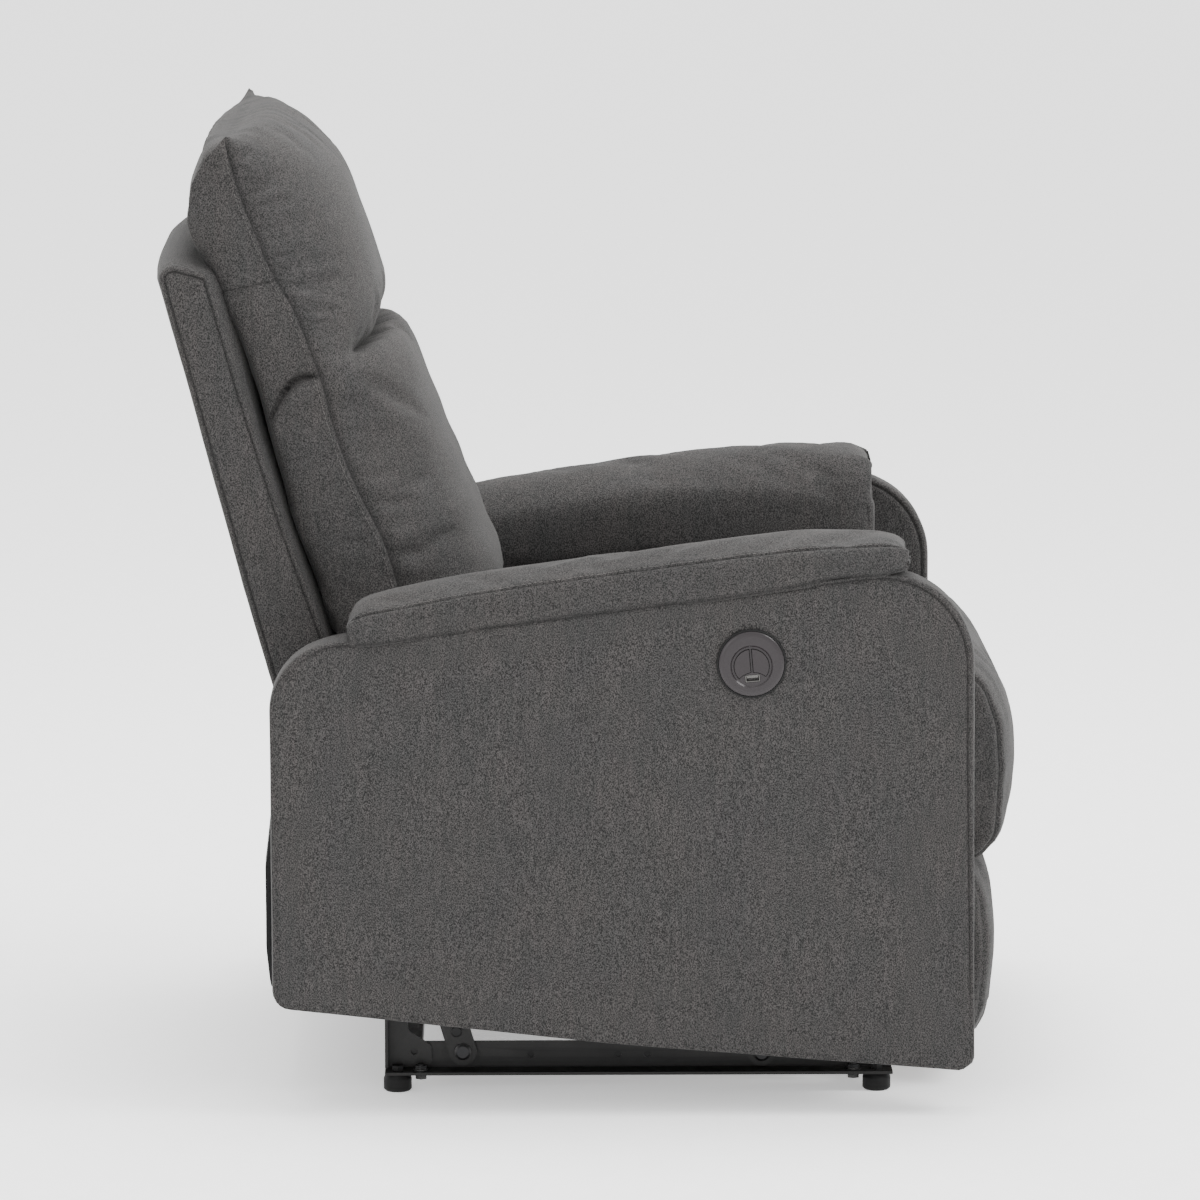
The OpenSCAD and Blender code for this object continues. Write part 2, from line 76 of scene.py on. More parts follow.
def make_camera():
    """Camera at the reference viewing angle: level with the right-hand side, a little from above."""
    data = bpy.data.cameras.new("camera")
    data.lens = 193.83
    data.sensor_width = 36
    data.clip_end = 150
    camera = add_object("camera", data)
    azimuth, elevation, distance = math.radians(269.174), math.radians(8.911), 6.845
    back = Vector((math.sin(azimuth) * math.cos(elevation),
                   -math.cos(azimuth) * math.cos(elevation), math.sin(elevation)))
    camera.location = Vector((0, -0.015, 0.4681)) + back * distance
    turn_along(camera, -back)
    bpy.context.scene.camera = camera


make_camera()


# ---------- curves and grids; side-plane places are [forward f, up z] in millimetres ----------

def rounded(corners, steps):
    """Closed outline through corners given as [forward, up, radius]."""
    points, n = [], len(corners)
    for i in range(n):
        a, b, c = (np.array(corners[k % n][:2], float) for k in (i - 1, i, i + 1))
        r = corners[i][2]
        if r <= 0:
            points.append(b)
            continue
        p, q = (a - b) / np.linalg.norm(a - b), (c - b) / np.linalg.norm(c - b)
        half = math.acos(np.clip(p @ q, -1, 1)) / 2
        m = b + (p + q) / np.linalg.norm(p + q) * r / math.sin(half)
        s, e = b + p * r / math.tan(half) - m, b + q * r / math.tan(half) - m
        start = math.atan2(s[1], s[0])
        turn = (math.atan2(e[1], e[0]) - start + 3 * math.pi) % (2 * math.pi) - math.pi
        for k in range(steps + 1):
            t = start + turn * k / steps
            points.append(m + r * np.array([math.cos(t), math.sin(t)]))
    return np.array(points)


def hermite(x, y, at):
    """Smooth curve through the values y at the knots x, read at the places at, without overshoot."""
    h = np.diff(x)[:, None]
    slope = np.diff(y, axis=0) / h
    product = slope[:-1] * slope[1:]
    before, after = (np.where(product > 0, k, 1) for k in (slope[:-1], slope[1:]))
    inner = 3 * (h[:-1] + h[1:]) / ((2 * h[1:] + h[:-1]) / before + (h[1:] + 2 * h[:-1]) / after)
    m = np.vstack([slope[:1], np.where(product > 0, inner, 0), slope[-1:]])
    k = np.clip(np.searchsorted(x, at, side="right") - 1, 0, len(x) - 2)
    t = ((at - x[k]) / h[k, 0])[:, None]
    return ((2 * t**3 - 3 * t**2 + 1) * y[k] + (t**3 - 2 * t**2 + t) * h[k] * m[k]
            + (-2 * t**3 + 3 * t**2) * y[k + 1] + (t**3 - t**2) * h[k] * m[k + 1])


def arc_lengths(points):
    """Length along a polyline up to each of its points."""
    return np.concatenate([[0], np.cumsum(np.linalg.norm(np.diff(points, axis=0), axis=1))])


def walk(path, values, at):
    """Values given at the points of a polyline, read at the given lengths along it."""
    s = arc_lengths(path)
    return np.stack([np.interp(at, s, values[:, i]) for i in range(values.shape[1])], -1)


def even_loop(corners, steps, spacing):
    """Rounded outline with evenly spaced points, about spacing apart, and its whole length."""
    dense = rounded(corners, steps)
    dense = np.vstack([dense, dense[:1]])
    total = arc_lengths(dense)[-1]
    return walk(dense, dense, np.linspace(0, total, int(total / spacing), endpoint=False)), total


def smoothed(values, width):
    """Running mean round a closed loop."""
    h = width // 2
    return np.convolve(np.concatenate([values[-h:], values, values[:h]]), np.ones(width) / width, "valid")


def inward(loop):
    """Inward unit normals of a closed loop in a plane."""
    t = np.roll(loop, -1, 0) - np.roll(loop, 1, 0)
    n = np.stack([-t[:, 1], t[:, 0]], -1)
    n /= np.maximum(np.linalg.norm(n, axis=1, keepdims=True), 1e-9)
    area = np.sum(loop[:, 0] * np.roll(loop[:, 1], -1) - np.roll(loop[:, 0], -1) * loop[:, 1])
    return n if area > 0 else -n


SEAM_SPREAD = (1.3, 2.8, 5.0, 8.0)


def grid_lines(stops, step, seams=()):
    """Line places between the stops, about step apart, closer together beside each seam."""
    base = []
    marks = sorted({*stops, *[s for s in seams if stops[0] < s < stops[-1]]})
    for a, b in zip(marks, marks[1:]):
        n = max(1, round((b - a) / step))
        base += [a + (b - a) * k / n for k in range(n)]
    base.append(marks[-1])
    extra = [s + side * d for s in seams for d in SEAM_SPREAD for side in (-1, 1)]
    extra = [e for e in extra if stops[0] < e < stops[-1]]
    kept = [b for b in base if b in seams or b in (stops[0], stops[-1])
            or all(abs(b - s) > SEAM_SPREAD[-1] + 1 for s in seams)]
    return np.array(sorted(set(kept + extra)))


def outward_normals(P):
    """Outward normals of a closed grid of rings, from the neighbours of each point."""
    n = np.cross(np.gradient(P, axis=0), np.roll(P, -1, 1) - np.roll(P, 1, 1))
    n /= np.maximum(np.linalg.norm(n, axis=2, keepdims=True), 1e-12)
    return n if np.sum((P - P.reshape(-1, 3).mean(0)) * n) > 0 else -n


def value_noise(points, size, seed):
    """Smooth noise from -1 to 1 at points in millimetres, its features about size wide."""
    shift = Vector((seed * 17.3, seed * 9.1, seed * 5.7))
    scale = 1.0 / np.asarray(size, float) * np.ones(3)
    return np.array([noise.noise(Vector(p * scale) + shift) for p in points.reshape(-1, 3)]
                    ).reshape(points.shape[:-1])


# ---------- meshes ----------

def make_object(name, verts, faces):
    mesh = bpy.data.meshes.new(name)
    mesh.from_pydata([tuple(v) for v in verts], [], [tuple(f) for f in faces])
    mesh.validate()
    mesh.polygons.foreach_set("use_smooth", [True] * len(mesh.polygons))
    return add_object(name, mesh)


def grid_faces(rows, cols, wrap=True, start=0):
    faces = []
    for i in range(rows - 1):
        for j in range(cols if wrap else cols - 1):
            k = (j + 1) % cols
            faces.append((start + i * cols + j, start + i * cols + k,
                          start + (i + 1) * cols + k, start + (i + 1) * cols + j))
    return faces


def outward(obj, weld=True):
    bm = bmesh.new()
    bm.from_mesh(obj.data)
    if weld:
        bmesh.ops.remove_doubles(bm, verts=bm.verts, dist=2e-5)
    bmesh.ops.recalc_face_normals(bm, faces=bm.faces)
    bm.to_mesh(obj.data)
    bm.free()
    return obj


def skin(name, P, poles=(None, None), values=None, weld=True):
    """Closed mesh from rings P (rows, columns, 3) in millimetres. Each end is closed to its pole point,
    or straight across from one half of the ring to the other where the pole is "bridge".
    values is a darkness weight for each grid point, for seam lines and, on some pieces, painted shade, which
    the fabric material darkens."""
    rows, cols = P.shape[:2]
    verts = list(P.reshape(-1, 3) * MM)
    faces = grid_faces(rows, cols)
    weights = list((values if values is not None else np.zeros((rows, cols))).ravel())
    for end, pole in enumerate(poles):
        if pole is None:
            continue
        k, base = len(verts), 0 if end == 0 else (rows - 1) * cols
        if isinstance(pole, str):
            faces += [(base + j, base + j + 1, base + cols - j - 1, base + (cols - j) % cols)
                      for j in range(cols // 2)]
            continue
        verts.append(np.asarray(pole, float) * MM)
        weights.append(0.0)
        for j in range(cols):
            faces.append((base + j, base + (j + 1) % cols, k))
    obj = make_object(name, verts, faces)
    if values is not None:
        attribute = obj.data.attributes.new("seam", "FLOAT", "POINT")
        attribute.data.foreach_set("value", np.array(weights, np.float32))
    return outward(obj, weld)


# ---------- cloth simulation ----------

CLOTH_FRAMES, CLOTH_PRESSURE = 20, 4.0


def inflate(P, poles, pinned, cap, slack):
    """Puffs a closed grid with Blender's cloth; returns how far each point moved, in millimetres."""
    obj = skin("cloth_work", P, poles, weld=False)
    count = P.shape[0] * P.shape[1]
    group = obj.vertex_groups.new(name="pin")
    for index in np.flatnonzero(pinned.ravel() > 0):
        group.add([int(index)], float(pinned.ravel()[index]), "REPLACE")
    cloth = obj.modifiers.new("cloth", "CLOTH")
    s = cloth.settings
    s.vertex_group_mass = "pin"
    s.quality = 5
    s.mass = 0.4
    s.tension_stiffness = s.compression_stiffness = 18
    s.shear_stiffness = 8
    s.bending_stiffness = 0.6
    s.air_damping = 2
    s.use_pressure = True
    s.uniform_pressure_force = CLOTH_PRESSURE
    s.shrink_min = -slack
    s.effector_weights.gravity = 0
    cloth.collision_settings.use_collision = False
    scene = bpy.context.scene
    for f in range(1, CLOTH_FRAMES + 1):
        scene.frame_set(f)
    got = obj.evaluated_get(bpy.context.evaluated_depsgraph_get()).data
    co = np.zeros(len(got.vertices) * 3)
    got.vertices.foreach_get("co", co)
    moved = co.reshape(-1, 3)[:count].reshape(P.shape) / MM - P
    mesh = obj.data
    bpy.data.objects.remove(obj)
    bpy.data.meshes.remove(mesh)
    scene.frame_set(1)
    far = np.linalg.norm(moved, axis=2, keepdims=True)
    return moved * np.minimum(1, cap / np.maximum(far, 1e-6))


# ---------- materials ----------

def new_material(name):
    material = bpy.data.materials.new(name)
    material.use_nodes = True
    tree = material.node_tree
    return material, tree, tree.nodes["Principled BSDF"]


def node(tree, kind, **values):
    n = tree.nodes.new(kind)
    for key, value in values.items():
        if key in n.inputs:
            n.inputs[key].default_value = value
        else:
            setattr(n, key, value)
    return n


def place(tree, scale):
    """Object coordinates stretched by scale, in features per metre."""
    source = tree.nodes.new("ShaderNodeTexCoord")
    mapping = node(tree, "ShaderNodeMapping", Scale=scale)
    tree.links.new(source.outputs["Object"], mapping.inputs["Vector"])
    return mapping.outputs["Vector"]


def noise_at(tree, scale, detail=2.0, roughness=0.5):
    n = node(tree, "ShaderNodeTexNoise", Scale=1.0, Detail=detail, Roughness=roughness)
    tree.links.new(place(tree, scale), n.inputs["Vector"])
    return n.outputs["Fac"]


def ramp(tree, source, stops):
    """Colour read from the stops by the value of source."""
    r = tree.nodes.new("ShaderNodeValToRGB")
    elements = r.color_ramp.elements
    while len(elements) < len(stops):
        elements.new(0.5)
    for e, (at, colour) in zip(elements, stops):
        e.position, e.color = at, (*colour, 1)
    tree.links.new(source, r.inputs["Fac"])
    return r.outputs["Color"]


def mixed(tree, a, b, factor, mode="MIX"):
    """Colour mix of two node outputs or plain colours."""
    m = tree.nodes.new("ShaderNodeMix")
    m.data_type, m.blend_type = "RGBA", mode
    for value, socket in ((factor, m.inputs[0]), (a, m.inputs[6]), (b, m.inputs[7])):
        if isinstance(value, bpy.types.NodeSocket):
            tree.links.new(value, socket)
        elif isinstance(value, tuple):
            socket.default_value = (*value, 1)
        else:
            socket.default_value = value
    return m.outputs[2]


def maths(tree, operation, a, b):
    m = tree.nodes.new("ShaderNodeMath")
    m.operation = operation
    for value, socket in ((a, m.inputs[0]), (b, m.inputs[1])):
        if isinstance(value, bpy.types.NodeSocket):
            tree.links.new(value, socket)
        else:
            socket.default_value = value
    return m.outputs[0]


def weighed(tree, a, share, b, other):
    """Sum of two values, each times its share."""
    return maths(tree, "ADD", maths(tree, "MULTIPLY", a, share), maths(tree, "MULTIPLY", b, other))


def set_sockets(shader, **values):
    """Sets plain values on sockets, named with _ for a space."""
    for name, value in values.items():
        shader.inputs[name.replace("_", " ")].default_value = value


def finish_shader(tree, shader, colour, rough, relief, **sockets):
    """Connects colour, roughness and relief (height, strength, depth in mm), and sets other sockets."""
    tree.links.new(colour, shader.inputs["Base Color"])
    if isinstance(rough, float):
        shader.inputs["Roughness"].default_value = rough
    else:
        tree.links.new(rough, shader.inputs["Roughness"])
    height, strength, depth = relief
    bump = node(tree, "ShaderNodeBump", Strength=strength, Distance=depth * MM)
    tree.links.new(height, bump.inputs["Height"])
    tree.links.new(bump.outputs["Normal"], shader.inputs["Normal"])
    set_sockets(shader, **sockets)


def fabric(name, dark, light, yarn_mm, sheen, bump=0.6):
    """Chenille: heathered yarns, soft brushed patches, dark seams with painted shade in creases and under
    overhangs, a velvety sheen.
    """
    material, tree, shader = new_material(name)
    thin, long = 1 / (yarn_mm * MM), 1 / (1.9 * yarn_mm * MM)
    upright = noise_at(tree, (thin, thin, long), 1.5, 0.6)
    across = noise_at(tree, (long, long, thin), 1.5, 0.6)
    heather = noise_at(tree, (1 / (6 * MM), 1 / (6 * MM), 1 / (38 * MM)), 3.0, 0.65)
    brushed = noise_at(tree, (1 / (55 * MM), 1 / (55 * MM), 1 / (90 * MM)), 2.0, 0.5)
    both = weighed(tree, upright, 0.6, across, 0.4)
    middle = tuple((x + y) / 2 for x, y in zip(dark, light))
    colour = ramp(tree, both, [(0.425, dark), (0.5, middle), (0.575, light)])
    tone = ramp(tree, heather, [(0.32, (0.84, 0.86, 0.85)), (0.68, (1.14, 1.11, 1.11))])
    wash = ramp(tree, brushed, [(0.35, (0.95, 0.96, 0.97)), (0.65, (1.05, 1.035, 1.03))])
    for layer in (tone, wash):
        colour = mixed(tree, colour, layer, 1.0, "MULTIPLY")
    # the seam attribute darkens seam thread lines and also painted shade: crease valleys, the gusset fold
    # and the arm pad's lower edge
    seam = node(tree, "ShaderNodeAttribute", attribute_name="seam")
    colour = mixed(tree, colour, (0.004, 0.004, 0.004), seam.outputs["Fac"])
    rough = ramp(tree, heather, [(0.3, (0.84,) * 3), (0.7, (0.97,) * 3)])
    finish_shader(tree, shader, colour, rough, (both, bump, 0.6), Sheen_Weight=sheen, Sheen_Roughness=0.4,
                  Sheen_Tint=(0.80, 0.80, 0.78, 1), Specular_IOR_Level=0.15)
    return material


def hard(name, base, rough, metal, grain, spread, bump, coat=0.0, worn=None, specular=0.5):
    """Moulded, painted or plated surface with fine grain, uneven gloss and, if given, worn edges."""
    material, tree, shader = new_material(name)
    fine = noise_at(tree, grain, 3.0, 0.6)
    patch = noise_at(tree, (22, 22, 22), 3.0, 0.6)
    low, high = (tuple(c * k for c in base) for k in (1 - spread, 1 + spread))
    colour = ramp(tree, weighed(tree, patch, 0.7, fine, 0.3), [(0.3, low), (0.7, high)])
    if worn:
        geometry = tree.nodes.new("ShaderNodeNewGeometry")
        edge = ramp(tree, geometry.outputs["Pointiness"], [(0.52, (0, 0, 0)), (0.60, (1, 1, 1))])
        amount = maths(tree, "MULTIPLY", edge, maths(tree, "MULTIPLY", fine, 0.6))
        colour = mixed(tree, colour, worn, amount)
    gloss = ramp(tree, patch, [(0.3, (max(rough - 0.08, 0.05),) * 3), (0.7, (min(rough + 0.1, 1),) * 3)])
    finish_shader(tree, shader, colour, gloss, (fine, bump, 0.3), Metallic=metal, Coat_Weight=coat,
                  Specular_IOR_Level=specular)
    return material


def wood(name):
    """Sawn pine: rings stretched along the board, saw marks across it."""
    material, tree, shader = new_material(name)
    rings = node(tree, "ShaderNodeTexWave", wave_type="RINGS", rings_direction="X", Scale=1.0,
                 Distortion=5.0, Detail=3.0)
    tree.links.new(place(tree, (3, 28, 28)), rings.inputs["Vector"])
    streak = noise_at(tree, (12, 260, 260), 4.0, 0.6)
    tone = ramp(tree, weighed(tree, rings.outputs["Fac"], 0.5, streak, 0.5),
                [(0.2, (0.30, 0.17, 0.08)), (0.55, (0.52, 0.34, 0.18)), (0.9, (0.62, 0.44, 0.26))])
    finish_shader(tree, shader, tone, 0.75, (streak, 0.3, 0.4))
    return material


UPHOLSTERY = fabric("upholstery_chenille", (0.0105, 0.0104, 0.0103), (0.0525, 0.0503, 0.0494),
                    0.85, 0.06)
THREAD = fabric("stitch_thread", (0.040, 0.038, 0.037), (0.085, 0.081, 0.079), 0.7, 0.2, 0.3)
BLACK_CLOTH = fabric("black_dust_cloth", (0.004, 0.004, 0.0045), (0.011, 0.011, 0.0115), 0.9, 0.04, 0.4)
HARD = {
    "black_steel": hard("black_powder_coat", (0.0045, 0.0045, 0.0048), 0.38, 0.0, (1400,) * 3, 0.3, 0.22,
                        0.0, (0.035, 0.034, 0.032), specular=0.2),
    "zinc_steel": hard("dark_zinc", (0.020, 0.020, 0.021), 0.36, 0.8, (700,) * 3, 0.3, 0.1, 0.0,
                       (0.12, 0.118, 0.115)),
    "spring_steel": hard("bright_spring_wire", (0.34, 0.34, 0.35), 0.3, 1.0, (500, 500, 2500), 0.25, 0.1),
    "foot_plastic": hard("black_nylon", (0.005, 0.005, 0.005), 0.5, 0.0, (1800,) * 3, 0.3, 0.2, 0.0,
                         (0.02, 0.02, 0.02), specular=0.15),
    "timber": wood("sawn_pine"),
    "motor_plastic": hard("textured_black_moulding", (0.012, 0.012, 0.013), 0.55, 0.0, (2200,) * 3, 0.2,
                          0.3, specular=0.3),
    "track_aluminium": hard("satin_aluminium", (0.45, 0.46, 0.48), 0.33, 1.0, (1500, 60, 1500), 0.12, 0.1),
    "control_plastic": hard("pearl_grey_rim", (0.0175, 0.0145, 0.0158), 0.32, 0.2, (2600,) * 3, 0.08,
                            0.05, 0.1, (0.05, 0.045, 0.047), specular=0.28),
    "button_plastic": hard("pearl_grey_button", (0.0150, 0.0125, 0.0134), 0.42, 0.12, (2600,) * 3, 0.08,
                           0.05, 0.0, (0.05, 0.045, 0.047), specular=0.2),
    "port_steel": hard("nickel_port", (0.10, 0.098, 0.094), 0.3, 1.0, (1500,) * 3, 0.1, 0.04),
}


def dress_cad_nodes():
    """Gives every CAD node the material of its slot in the record."""
    slots = {p["node"]: p["material_slot"] for p in frame["record"]["subparts"]}
    for name, obj in NODES.items():
        slot_name = slots.get(name)
        material = {"upholstery": UPHOLSTERY, "dust_cloth": BLACK_CLOTH}.get(slot_name) or HARD[slot_name]
        obj.data.materials.clear()
        obj.data.materials.append(material)


# ---------- soft goods ----------

def groove(along, seam, depth=1.9, width=1.7, swell=0.5):
    """Depth of a sewn seam against distance: a narrow valley with slightly proud lips."""
    d = along - seam
    return -depth * np.exp(-(d / width) ** 2) + swell * np.exp(-((np.abs(d) - 5.5) / 3.0) ** 2)


def darkness(along, seam, width=0.9):
    """How dark the thread line of a seam is against distance."""
    return 0.6 * np.exp(-((along - seam) / width) ** 2)


def puckers(along, away, seed, height=1.0, spacing=16.0, reach=26.0, creased=False):
    """Small gathers that run away from a seam and fade out; along and away are in millimetres."""
    base = np.stack([along / spacing, away / (spacing * 4.5), np.zeros_like(along)], -1)
    ridges = value_noise(base, 1.0, seed)
    if creased:
        ridges = 2.2 * np.abs(ridges) - 0.5
    return height * ridges * np.exp(-np.abs(away) / reach) * (1 - np.exp(-np.abs(away) / 2.5))


STITCH, STITCH_GAP, THREAD_RADIUS = 4.2, 1.6, 0.42


def stitches(name, path, normals, parent):
    """A row of stitches lying on the surface along path (mm), each a short arched thread."""
    total = arc_lengths(path)[-1]
    count = int(total / (STITCH + STITCH_GAP))
    spots = np.array([-0.5, -0.3, 0.0, 0.3, 0.5]) * STITCH
    lift = np.array([-0.55, 0.25, 0.45, 0.25, -0.55]) * THREAD_RADIUS * 1.6
    fat = np.array([0.55, 0.95, 1.0, 0.95, 0.55]) * THREAD_RADIUS
    ring = [(math.cos(a), math.sin(a)) for a in (0.0, 1.2566, 2.5133, 3.7699, 5.0265)]
    verts, faces = [], []
    for i in range(count):
        at = (i + 0.5) * total / count + spots
        c, n = walk(path, path, at), walk(path, normals, at)
        t = np.gradient(c, axis=0)
        t /= np.linalg.norm(t, axis=1, keepdims=True)
        n = n - np.sum(n * t, axis=1, keepdims=True) * t
        n /= np.maximum(np.linalg.norm(n, axis=1, keepdims=True), 1e-9)
        b = np.cross(t, n)
        c = c + n * lift[:, None]
        base = len(verts)
        verts += [(c[k] + (b[k] * u + n[k] * v) * fat[k]) * MM for k in range(5) for u, v in ring]
        faces += grid_faces(5, 5, True, base)
        faces.append(tuple(base + k for k in range(4, -1, -1)))
        faces.append(tuple(base + 20 + k for k in range(5)))
    obj = make_object(name, verts, faces)
    obj.data.materials.append(THREAD)
    obj.parent = parent


def piece(obj, body, nodes):
    """Material, body and CAD nodes stood for, of a soft piece."""
    obj.data.materials.append(UPHOLSTERY)
    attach(obj, body)
    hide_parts(*nodes)


def piece_pair(left, right, name):
    """The left-hand and right-hand covers of one kind of piece on the seat body."""
    piece(left, "seat", [f"{name}_left"])
    piece(right, "seat", [f"{name}_right"])


def finish_grid(name, P, poles, displacement, weights):
    """Grid pushed along its normals, then skinned. Returns the object, its points and normals."""
    Q = P + outward_normals(P) * displacement[..., None]
    return skin(name, Q, poles, weights), Q, outward_normals(Q)


def mirrored(obj, name):
    """Mirror image of a piece across the middle of the chair."""
    copy = add_object(name, obj.data.copy())
    copy.data.name = name
    copy.data.materials.clear()
    co = np.zeros(len(copy.data.vertices) * 3, np.float32)
    copy.data.vertices.foreach_get("co", co)
    co = co.reshape(-1, 3)
    co[:, 0] *= -1
    copy.data.vertices.foreach_set("co", co.ravel())
    copy.data.flip_normals()
    copy.data.update()
    return copy


def side_world(x, f, z):
    """Row-frame point, in mm, from a lateral place and a side-plane place."""
    return np.stack([np.asarray(x, float), -np.asarray(f, float), np.asarray(z, float)], -1)


def ring_at(x, q):
    """Ring of side-plane places q at the lateral place x."""
    return side_world(np.full(len(q), float(x)), q[:, 0], q[:, 1])


def grid_places(marks, loop, total):
    """For each grid point: the mark of its ring, and its place along the loop."""
    marks = np.array(marks)[:, None] * np.ones(len(loop))
    return marks, np.linspace(0, total, len(loop), endpoint=False)[None, :] * np.ones_like(marks)


def edge_turns(*degrees):
    """For turns round a quarter-round edge: what is left of it across, and what is gone along it."""
    return [(1 - math.sin(a), 1 - math.cos(a)) for a in np.radians(degrees)]


def slab_points(loop, total, rings, centre):
    """Grid over one outline, from the centre of one flat face over the edge to the other face, with the
    mark and place along the loop of each point. A ring is (share of the outline about its centre, inset
    from it as one number or one for each point, lateral place, mark: distance from the seam)."""
    n = inward(loop)
    P = []
    for share, inset, x, _ in rings:
        ring = loop + n * np.reshape(inset, (-1, 1))
        P.append(ring_at(x, centre + (ring - centre) * share))
    return np.array(P), *grid_places([r[3] for r in rings], loop, total)


SIDE_OUTLINE = [[-320, 113, 18], [10, 76, 60], [352, 48, 20], [375, 46, 8], [388, 55, 9], [383, 567, 90],
                [-225, 489, 30], [-322, 482, 72]]
# By the way the outline faces in degrees (0 forward, 90 up): inset of the seam, and how much it shows
SEAM_INSET = [[-90, -60, 0, 30, 75, 97, 120, 165, 180], [4, 4, 6.5, 7.5, 6, 4, 7, 4, 4]]
SEAM_SHOWS = [[-90, -70, -30, 0, 88, 110, 130, 175, 180], [0.05, 0.1, 0.6, 1, 1, 0.8, 0.5, 0.25, 0.2]]


def side_panel():
    """Outer side panel, left-hand side: flat padded faces; its border seam shows most at the front."""
    loop, total = even_loop(SIDE_OUTLINE, 14, 5.5)
    n_in = inward(loop)
    facing = np.degrees(np.arctan2(-n_in[:, 1], -n_in[:, 0]))
    facing = np.where(facing < -91, 180, facing)
    seam, shows = (smoothed(np.interp(facing, *table), 7) for table in (SEAM_INSET, SEAM_SHOWS))
    low_front = np.clip((loop[:, 1] - 90) / 260, 0, 1)
    seam = np.where(loop[:, 0] > 340, 4 + (seam - 4) * low_front, seam)
    shows = np.where(loop[:, 0] > 340, shows * np.clip((loop[:, 1] - 60) / 90, 0.15, 1), shows)
    centre = np.array([30.0, 290.0])
    outer, inner, edge = 389.0, 342.3, seam - 2.8
    rings = [(k, seam + 8, outer + 1.6 * (1 - k**4), 40.0) for k in np.linspace(0.05, 0.93, 17)]
    rings += [(1, seam + d, outer, d) for d in (8, 5, 2.8, 1.3, 0)]
    rings += [(1, seam - d, outer - 0.1 - d * 0.05, d) for d in (1.3, 2.8)]
    rings += [(1, edge * left, outer - 0.4 - 5.2 * gone, 9.0) for left, gone in edge_turns(25, 48, 70, 90)]
    rings += [(1, -0.8, x, 20.0) for x in np.linspace(outer - 11, inner + 7, 6)]
    rings += [(1, edge * left, inner + 5.2 * gone, 9.0) for left, gone in edge_turns(90, 65, 40)]
    rings += [(1, seam - d, inner, d) for d in (2.8, 1.3, 0)]
    rings += [(1, seam + d, inner, d) for d in (1.3, 2.8, 5, 8)]
    rings += [(k, seam + 8, inner, 40.0) for k in np.linspace(0.95, 0.05, 12)]
    P, marks, along = slab_points(loop, total, rings, centre)
    flat = np.minimum(1, marks / 20.0)
    drop = groove(marks, 0.0, 1.9, 1.7, 0.45) * shows
    drop += puckers(along, marks, 3, 0.55, 22.0, 20.0) * shows
    drop += 1.1 * flat * value_noise(P, (90, 90, 130), 5)
    weights = darkness(marks, 0.0) * shows
    hole = np.hypot(-P[..., 1] - 161, P[..., 2] - 464.5)
    dip = -1.1 * np.exp(-((np.maximum(hole - 34, 0)) / 9.0) ** 2) * (P[..., 0] > 380)
    poles = [side_world(outer + 1.6, *centre), side_world(inner, *centre)]
    left, _, _ = finish_grid("side_panel_left_cover", P, poles, drop, weights)
    right, _, _ = finish_grid("side_panel_right_cover", P * FLIP, [p * FLIP for p in poles],
                              drop + dip, weights)
    piece_pair(left, right, "side_panel")


ARM_SLOPE = 71 / 539


def arm_line(f):
    return 489 + (f + 225) * ARM_SLOPE


ARM_BODY_OUTLINE = [[-300, 128, 20], [9, 98, 60], [300, 74, 20], [318, 100, 12], [321, 540, 12],
                    [-225, 483, 30], [-300, 470, 50]]


def arm_body():
    """Inner arm, left-hand side: boxed pad between the seat and the outer panel."""
    loop, total = even_loop(ARM_BODY_OUTLINE, 10, 7)
    centre = np.array([10.0, 290.0])
    outer, inner = 341.2, 276.2
    rings = [(k, 7.0, outer, 40.0) for k in np.linspace(0.06, 0.97, 9)]
    rings += [(1, 6 * left, outer - 6 * gone, 10.0) for left, gone in edge_turns(30, 60, 90)]
    rings += [(1, -1.5, x, 20.0) for x in np.linspace(outer - 12, inner + 16, 6)]
    rings += [(1, 9 * left, inner + 9 * gone, 7.0) for left, gone in edge_turns(90, 70, 50, 30)]
    rings += [(1, 10.0 - d, inner, abs(d)) for d in (2.8, 1.3, 0, -1.3, -2.8, -5, -8)]
    rings += [(k, 18.0, inner - 1.2 * (1 - k**3), 40.0) for k in np.linspace(0.93, 0.06, 12)]
    P, marks, along = slab_points(loop, total, rings, centre)
    drop = groove(marks, 0.0, 2.0, 1.8, 0.4) + puckers(along, marks, 9, 0.8, 15.0, 22.0)
    poles = (side_world(outer, *centre), side_world(inner - 1.2, *centre))
    left, _, _ = finish_grid("arm_body_left_cover", P, poles, drop, darkness(marks, 0.0))
    piece_pair(left, mirrored(left, "arm_body_right_cover"), "arm_body")


# Arm pad section, left-hand side: [lateral x, height over the arm line]
PAD_SECTION = [[383, -4.8], [390.5, -3.8], [394.3, 1.5], [395.3, 11], [394.3, 21], [391.8, 28.5],
               [388.6, 33.5], [384, 38.0], [372, 42.6], [352, 45.4], [328, 44.6], [308, 40.5], [292, 32.5],
               [280.5, 19.0], [274, 1.0],
               [271.4, -22], [270.7, -50], [271.2, -70], [274, -76], [282, -77], [292, -70],
               [318, -46], [345, -22], [362, -13], [374, -8]]
PAD_SEAM = 6  # the seam's place in the section
PAD_REAR, PAD_FRONT, PAD_NOSE = -243.0, 321.0, 38.0
SEAM_HEIGHT = [[-242, 25], [-184, 27.6], [-130, 31.5], [-60, 33], [150, 34], [204, 33], [248, 30.5],
               [289, 26.5], [300, 26]]
CROWN_HEIGHT = [[-242, 32], [-221, 35.5], [-197, 39], [-161, 41.6], [-84, 44.5], [60, 46.5], [163, 43.5],
                [223, 40], [264, 35], [288, 32], [300, 31]]


